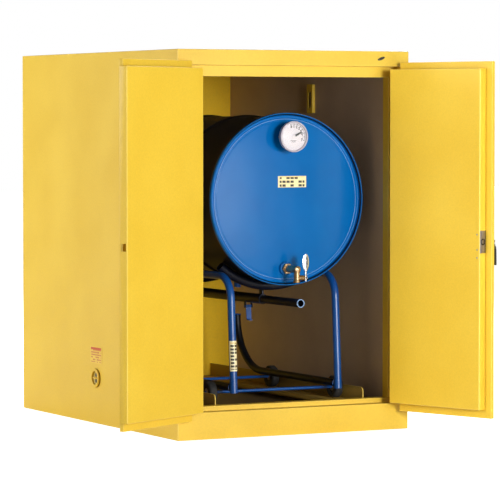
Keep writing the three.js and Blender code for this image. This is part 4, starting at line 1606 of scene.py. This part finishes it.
def faucet_handle(plug):
    """A chrome stem that widens upwards into an oval thumb plate facing the front."""
    low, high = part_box("faucet_lever")
    bm = bmesh.new()
    stem = [(0, -0.0040), (0.0034, -0.0040), (0.0034, 0.0008)]
    stem += [(0.0060, 0.0012), (0.0060, 0.0034), (0, 0.0036)]
    lathe_into(bm, stem, (plug.x + 0.0004, plug.y, plug.z), (1, 0, 0), steps=32)
    top = high.z - 0.0005
    bottom = low.z + 0.0004
    half = (high.x - low.x) / 2 - 0.0004
    neck = 0.36  # share of the height below the oval plate
    steps = 36
    sections = []
    for k in range(steps + 1):
        share = k / steps
        swell = max(0.0, (share - neck) / (1 - neck))
        oval = math.sqrt(max(0.0, 1 - (2 * swell - 1) ** 2))
        wide = max(0.0034 * (1 - swell), half * oval, 0.0008)
        thick = 0.0022 - 0.0008 * swell
        height = bottom + (top - bottom) * share
        ring = []
        for i in range(24):
            angle = 2 * math.pi * i / 24
            place = Vector((plug.x + wide * math.cos(angle), plug.y + thick * math.sin(angle), height))
            ring.append(bm.verts.new(place))
        sections.append(ring)
    for one, two in zip(sections, sections[1:]):
        bridge(bm, one, two)
    bm.faces.new(sections[0])
    bm.faces.new(sections[-1])
    finish_piece("faucet_thumb_lever", bm, "faucet_lever", CHROME, ("faucet_lever",), "chrome", angle=50)


# ---------------------------------------------------------------- cradle truck


def arc(x, centre, radius, start, end, steps=10):
    """Points of an arc in the YZ plane at one x, angles in degrees."""
    points = []
    for k in range(steps + 1):
        angle = math.radians(start + (end - start) * k / steps)
        points.append(Vector((x, centre[0] + radius * math.cos(angle), centre[1] + radius * math.sin(angle))))
    return points


def side_frames():
    """One bent tube each side: a blue leg and top rail, and a rear bend and bottom rail of the same tube in
    black, as painted shade.
    """
    lean = math.atan2(LEG_KNEE[0] - LEG_FOOT[0], LEG_KNEE[1] - LEG_FOOT[1])
    for side in ("left", "right"):
        node = f"truck_frame_{side}"
        low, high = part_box(node)
        x = (low.x + high.x) / 2
        rail = high.z - TUBE
        rear = high.y - TUBE
        knee_y = LEG_KNEE[0] + RAIL_BEND * math.cos(lean)
        upper = [Vector((x, *LEG_FOOT))]
        upper += arc(x, (knee_y, rail - RAIL_BEND), RAIL_BEND, 180 - math.degrees(lean), 90)
        upper += arc(x, (rear - RAIL_BEND, rail - RAIL_BEND), RAIL_BEND, 90, 0)
        lower = arc(x, (rear - REAR_BEND, LOW_RAIL + REAR_BEND), REAR_BEND, 0, -90, 16)
        lower.append(Vector((x, LEG_FOOT[0] + 0.024, LOW_RAIL)))
        bm = bmesh.new()
        tube_into(bm, upper, TUBE, TUBE_WALL)
        finish_piece(f"cradle_side_{side}", bm, "truck", FRAME_BLUE, (node,), "blue_paint")
        # painted shade: the rear bend and bottom rail of the blue tube are black, as they lie in shade
        bm = bmesh.new()
        tube_into(bm, lower, TUBE, TUBE_WALL)
        finish_piece(f"cradle_runner_{side}", bm, "truck", DRUM_BLACK, slot="black_paint")
        leg_y = LEG_FOOT[0] + (LOW_RAIL - LEG_FOOT[1]) * math.tan(lean)
        welds = bmesh.new()
        bead(welds, Vector((x, leg_y + TUBE * 0.93, LOW_RAIL)), (0, 1, 0), TUBE + 0.0004)
        bead(welds, lower[0], (0, 0, 1), TUBE - 0.0004)
        finish_piece(f"cradle_welds_{side}", welds, "truck", FRAME_BLUE, slot="blue_paint")


def bead(bm, centre, direction, radius, steps=40):
    """A rippled ring of weld metal."""
    first, second = basis(direction)
    along = Vector(direction).normalized()
    rings = []
    for k in range(steps):
        angle = 2 * math.pi * k / steps
        out = first * math.cos(angle) + second * math.sin(angle)
        size = WELD * (0.86 + 0.14 * math.cos(6.5 * angle) + 0.10 * math.sin(17 * angle))
        ring = []
        for i in range(8):
            turn = 2 * math.pi * i / 8
            outward = out * (radius + size * math.cos(turn))
            ring.append(bm.verts.new(centre + outward + along * size * math.sin(turn)))
        rings.append(ring)
    for k in range(steps):
        bridge(bm, rings[k], rings[(k + 1) % steps])


def saddles():
    """Curved pipes that lie on the top rails and carry the drum."""
    shell = centre_of("drum_shell")
    steps = 40
    for end in ("front", "rear"):
        node = f"saddle_{end}"
        y = centre_of(node).y
        line = []
        for k in range(steps + 1):
            angle = SADDLE_SPREAD * (2 * k / steps - 1)
            out = Vector((math.sin(angle), 0, -math.cos(angle)))
            line.append(Vector((shell.x, y, shell.z)) + out * SADDLE_RADIUS)
        bm = bmesh.new()
        tube_into(bm, line, SADDLE_TUBE - 0.0001, TUBE_WALL)
        finish_piece(f"cradle_saddle_{end}", bm, "truck", NAVY, (node,), "dark_blue_paint")


def handle():
    """Pull tube in its sleeve, with hangers up to the saddles and lugs for the drop catch."""
    low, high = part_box("handle_sleeve")
    x = (low.x + high.x) / 2
    tube_low, tube_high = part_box("handle_tube")
    z = (tube_low.z + tube_high.z) / 2
    radius = (high.x - low.x) / 2
    bm = bmesh.new()
    tube_into(bm, [(x, low.y, z), (x, high.y, z)], radius - 0.0001, 0.0024, 40)
    under = centre_of("drum_shell").z - SADDLE_RADIUS - SADDLE_TUBE
    for y in (low.y + 0.013, centre_of("saddle_rear").y):
        hanger_low = (x - 0.003, y - 0.012, z + radius - 0.0015)
        hanger_high = (x + 0.003, y + 0.012, under + 0.0005)
        block_into(bm, hanger_low, hanger_high, 0.001)
    catch = Vector(JOINTS["drop_catch_swing"]["pos_m"])
    for sign in (-1, 1):
        edges = sorted((x + sign * 0.0111, x + sign * 0.0139))
        block_into(
            bm,
            (edges[0], catch.y - 0.007, catch.z - 0.007),
            (edges[1], catch.y + 0.007, z - 0.0105),
            0.001,
        )
    finish_piece("handle_sleeve_tube", bm, "truck", NAVY, ("handle_sleeve",), "dark_blue_paint")
    bm = bmesh.new()
    tube_radius = (tube_high.x - tube_low.x) / 2
    collar_y = tube_low.y + 0.004
    tube_into(bm, [(x, collar_y, z), (x, tube_high.y, z)], tube_radius, 0.0022, 40)
    finish_piece("pull_handle", bm, "handle", NAVY, ("handle_tube",), "dark_blue_paint")
    # painted highlight: the front tip of the navy pull tube in the pale highlight blue
    bm = bmesh.new()
    tube_into(bm, [(x, tube_low.y, z), (x, collar_y, z)], tube_radius, 0.0026, 40)
    finish_piece("pull_handle_end", bm, "handle", HIGHLIGHT_BLUE, slot="blue_paint")


def drop_catch():
    """A bent plate on a cross pin that hangs under the sleeve and stops the handle."""
    low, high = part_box("drop_catch")
    pivot = Vector(JOINTS["drop_catch_swing"]["pos_m"])
    z = pivot.z - 0.001
    half = 0.0098
    taper = 0.35  # how much narrower the plate is at its toe
    bm = bmesh.new()
    tube_into(bm, [(low.x + 0.0002, pivot.y, z), (high.x - 0.0002, pivot.y, z)], 0.0025, 0, 20)
    tube_into(bm, [(pivot.x - half, pivot.y, z), (pivot.x + half, pivot.y, z)], 0.0050, 0, 28)
    toe = low.z + 0.0015
    corners = [(pivot.y, z, 0), (pivot.y - 0.006, toe, 0), (low.y + 0.0005, toe, 0)]
    profile = rounded(corners, [0, 0.005, 0], 6)
    rows = []
    for i, point in enumerate(profile):
        ahead = profile[min(i + 1, len(profile) - 1)] - profile[max(i - 1, 0)]
        side = Vector((-ahead.y, ahead.x, 0)).normalized() * 0.0014
        corners = []
        wide = half * (1 - taper * i / (len(profile) - 1))
        for u, w in ((-1, 1), (1, 1), (1, -1), (-1, -1)):
            place = point + side * w
            corners.append(bm.verts.new(Vector((pivot.x + u * wide, place.x, place.y))))
        rows.append(corners)
    for one, two in zip(rows, rows[1:]):
        bridge(bm, one, two)
    bm.faces.new(rows[0])
    bm.faces.new(rows[-1])
    finish_piece("handle_catch", bm, "drop_catch", FRAME_BLUE, ("drop_catch",), "dark_blue_paint")


def wheels():
    """Solid rubber wheels with steel hubs on through axles."""
    for end in ("front", "rear"):
        node = f"axle_{end}"
        low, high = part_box(node)
        axis = (low + high) / 2
        radius = (high.z - low.z) / 2 - 0.0001
        length = high.x - low.x
        tip = 0.0012
        rod = [(0, 0), (radius - tip, 0), (radius, tip)]
        rod += [(radius, length - tip), (radius - tip, length), (0, length)]
        origin = Vector((low.x, axis.y, axis.z))
        lathe(
            f"cradle_axle_{end}",
            rod,
            origin,
            (1, 0, 0),
            "truck",
            FRAME_BLUE,
            steps=32,
            stands_for=(node,),
            slot="blue_paint",
        )
        for side in ("left", "right"):
            wheel(end, side)


def wheel(end, side):
    node = f"wheel_{end}_{side}"
    low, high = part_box(node)
    centre = (low + high) / 2
    radius = (high.z - low.z) / 2
    half = (high.x - low.x) / 2
    tread = rounded(
        [
            (0.0140, -half + 0.0020, 0),
            (0.0205, -half + 0.0020, 0),
            (0.0225, -half, 0),
            (radius - 0.0040, -half, 0),
            (radius, -half + 0.0045, 0),
            (radius, half - 0.0045, 0),
            (radius - 0.0040, half, 0),
            (0.0225, half, 0),
            (0.0205, half - 0.0020, 0),
            (0.0140, half - 0.0020, 0),
        ],
        [0, 0.0008, 0.0008, 0.0024, 0.0024, 0.0024, 0.0024, 0.0008, 0.0008, 0],
        4,
        closed=True,
    )
    profile = [(point.x, point.y) for point in tread]
    lathe(
        f"tyre_{end}_{side}",
        profile,
        centre,
        (1, 0, 0),
        node,
        RUBBER,
        closed=True,
        steps=72,
        stands_for=(node,),
        slot="black_rubber",
    )
    hub = [
        (0.0054, -half + 0.0002),
        (0.0085, -half + 0.0002),
        (0.0095, -half + 0.0012),
        (0.0138, -half + 0.0028),
        (0.0138, half - 0.0028),
        (0.0095, half - 0.0012),
        (0.0085, half - 0.0002),
        (0.0054, half - 0.0002),
    ]
    lathe(f"hub_{end}_{side}", hub, centre, (1, 0, 0), node, STEEL, closed=True, steps=48, slot="bare_steel")


def stickers():
    """Printed films on the side of the cabinet, the drum head and the left leg."""
    films = (
        ("side_label", "red_label", "Y", (240, 204, 76), (204, 84, 24), (202, 112, 30), 7, 9, 0.20),
        ("drum_label", "cream_label", "X", (246, 232, 176), (230, 190, 60), (52, 46, 34), 3, 7, 0.10),
        ("frame_label", "cream_label", "X", (246, 236, 190), (228, 190, 70), (60, 54, 42), 9, 2, 0.08),
    )
    for node, slot, across, paper, heading, ink, rows, columns, heading_share in films:
        low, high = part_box(node)
        wide = high.y - low.y if across == "Y" else high.x - low.x
        size = (wide, high.z - low.z)
        origin = (low.x, low.y, low.z)
        name = f"{node}_film"
        colours = [srgb(*colour) for colour in (paper, heading, ink)]
        film = printed_film(name, *colours, across, origin, size, rows, columns, heading_share)
        keep(node, film)
    sticker = NODES["frame_label"].data
    sticker.polygons.foreach_set("use_smooth", [True] * len(sticker.polygons))
    sticker.set_sharp_from_angle(angle=math.radians(40))


# ---------------------------------------------------------------- studio


def area_light(name, place, target, size, energy, colour=(1, 1, 1)):
    lamp = bpy.data.lights.new(name, "AREA")
    lamp.shape = "RECTANGLE"
    lamp.size, lamp.size_y = size
    lamp.energy = energy
    lamp.color = colour
    holder = bpy.data.objects.new(name, lamp)
    bpy.context.scene.collection.objects.link(holder)
    holder.location = place
    aim = Vector(target) - Vector(place)
    holder.rotation_euler = aim.to_track_quat("-Z", "Y").to_euler()
    return holder


def link_light(light, receivers):
    """Lets a light fall only on the pieces given."""
    group = bpy.data.collections.new(f"{light.name}_receivers")
    for piece in receivers:
        group.objects.link(piece)
    light.light_linking.receiver_collection = group


def studio():
    """White floor, a broad key from the front with a small sheen light to its right, a fill on the left side,
    one from behind and one for the door faces.
    """
    bm = bmesh.new()
    bmesh.ops.create_grid(bm, x_segments=1, y_segments=1, size=FLOOR_HALF)
    mesh = bpy.data.meshes.new("studio_floor")
    bm.to_mesh(mesh)
    bm.free()
    floor = bpy.data.objects.new("studio_floor", mesh)
    floor.location.z = -0.0005
    bpy.context.scene.collection.objects.link(floor)
    paper = Recipe("studio_paper", Roughness=0.9, Specular_IOR_Level=0.0)
    paper.feed(paper.shader.inputs["Base Color"], (0.90, 0.90, 0.90, 1))
    paper.feed(paper.shader.inputs["Emission Color"], (1, 1, 1, 1))
    glow = paper.grey(paper.node("LightPath").outputs["Is Camera Ray"], 0.0, 0.92)
    paper.feed(paper.shader.inputs["Emission Strength"], glow)
    floor.data.materials.append(paper.material)
    floor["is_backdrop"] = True

    world = bpy.data.worlds.new("studio_world")
    bpy.context.scene.world = world
    world.use_nodes = True
    tree = world.node_tree
    seen = tree.nodes.new("ShaderNodeLightPath").outputs["Is Camera Ray"]
    strength = tree.nodes.new("ShaderNodeMapRange")
    strength.inputs["To Min"].default_value = 0.14
    strength.inputs["To Max"].default_value = 1.0
    tree.links.new(seen, strength.inputs["Value"])
    tree.links.new(strength.outputs["Result"], tree.nodes["Background"].inputs["Strength"])
    tree.nodes["Background"].inputs["Color"].default_value = (1, 1, 1, 1)

    area_light("key", (0.0, -7.0, 1.25), (0.0, -0.6, 0.75), (1.5, 1.6), 318)
    area_light("sheen", (2.25, -6.0, 0.65), (0.0, -0.5, 0.75), (0.5, 0.9), 34)
    area_light("side_fill", (-5.0, 2.4, 1.5), (-0.43, -0.1, 0.65), (2.6, 2.6), 215)
    area_light("back_fill", (4.2, 4.0, 3.0), (0.0, 0.2, 0.6), (3.0, 3.0), 380)
    doors = area_light("door_fill", (-5.0, -2.2, 1.3), (0.3, -0.8, 0.65), (2.4, 2.4), 165)
    link_light(doors, [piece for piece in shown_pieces() if body_of(piece) == ["right_door"]])


def camera():
    lens_data = bpy.data.cameras.new("camera")
    lens_data.lens = 214.5
    lens_data.sensor_width = 36
    lens_data.clip_end = 200
    eye = bpy.data.objects.new("camera", lens_data)
    eye.location = (-4.667, -9.276, 1.044)
    eye.rotation_euler = (math.radians(90 - 2.52), 0, math.radians(-27.5))
    bpy.context.scene.collection.objects.link(eye)
    bpy.context.scene.camera = eye
    bpy.context.scene.view_settings.view_transform = "Standard"
    bpy.context.scene.view_settings.look = "None"


# ---------------------------------------------------------------- the whole object

cabinet_shell()
doorway()
liner()
tracks()
vents()
vent_hood()
header_plug()
hinges()
door_shell(LEFT)
door_shell(RIGHT)
door_rivets(RIGHT, 0.030, (0.591, 0.617, 0.667))
lock_parts()
door_handle()
drum()
drum_fittings()
gauge()
faucet()
side_frames()
saddles()
handle()
drop_catch()
wheels()
stickers()
studio()
camera()
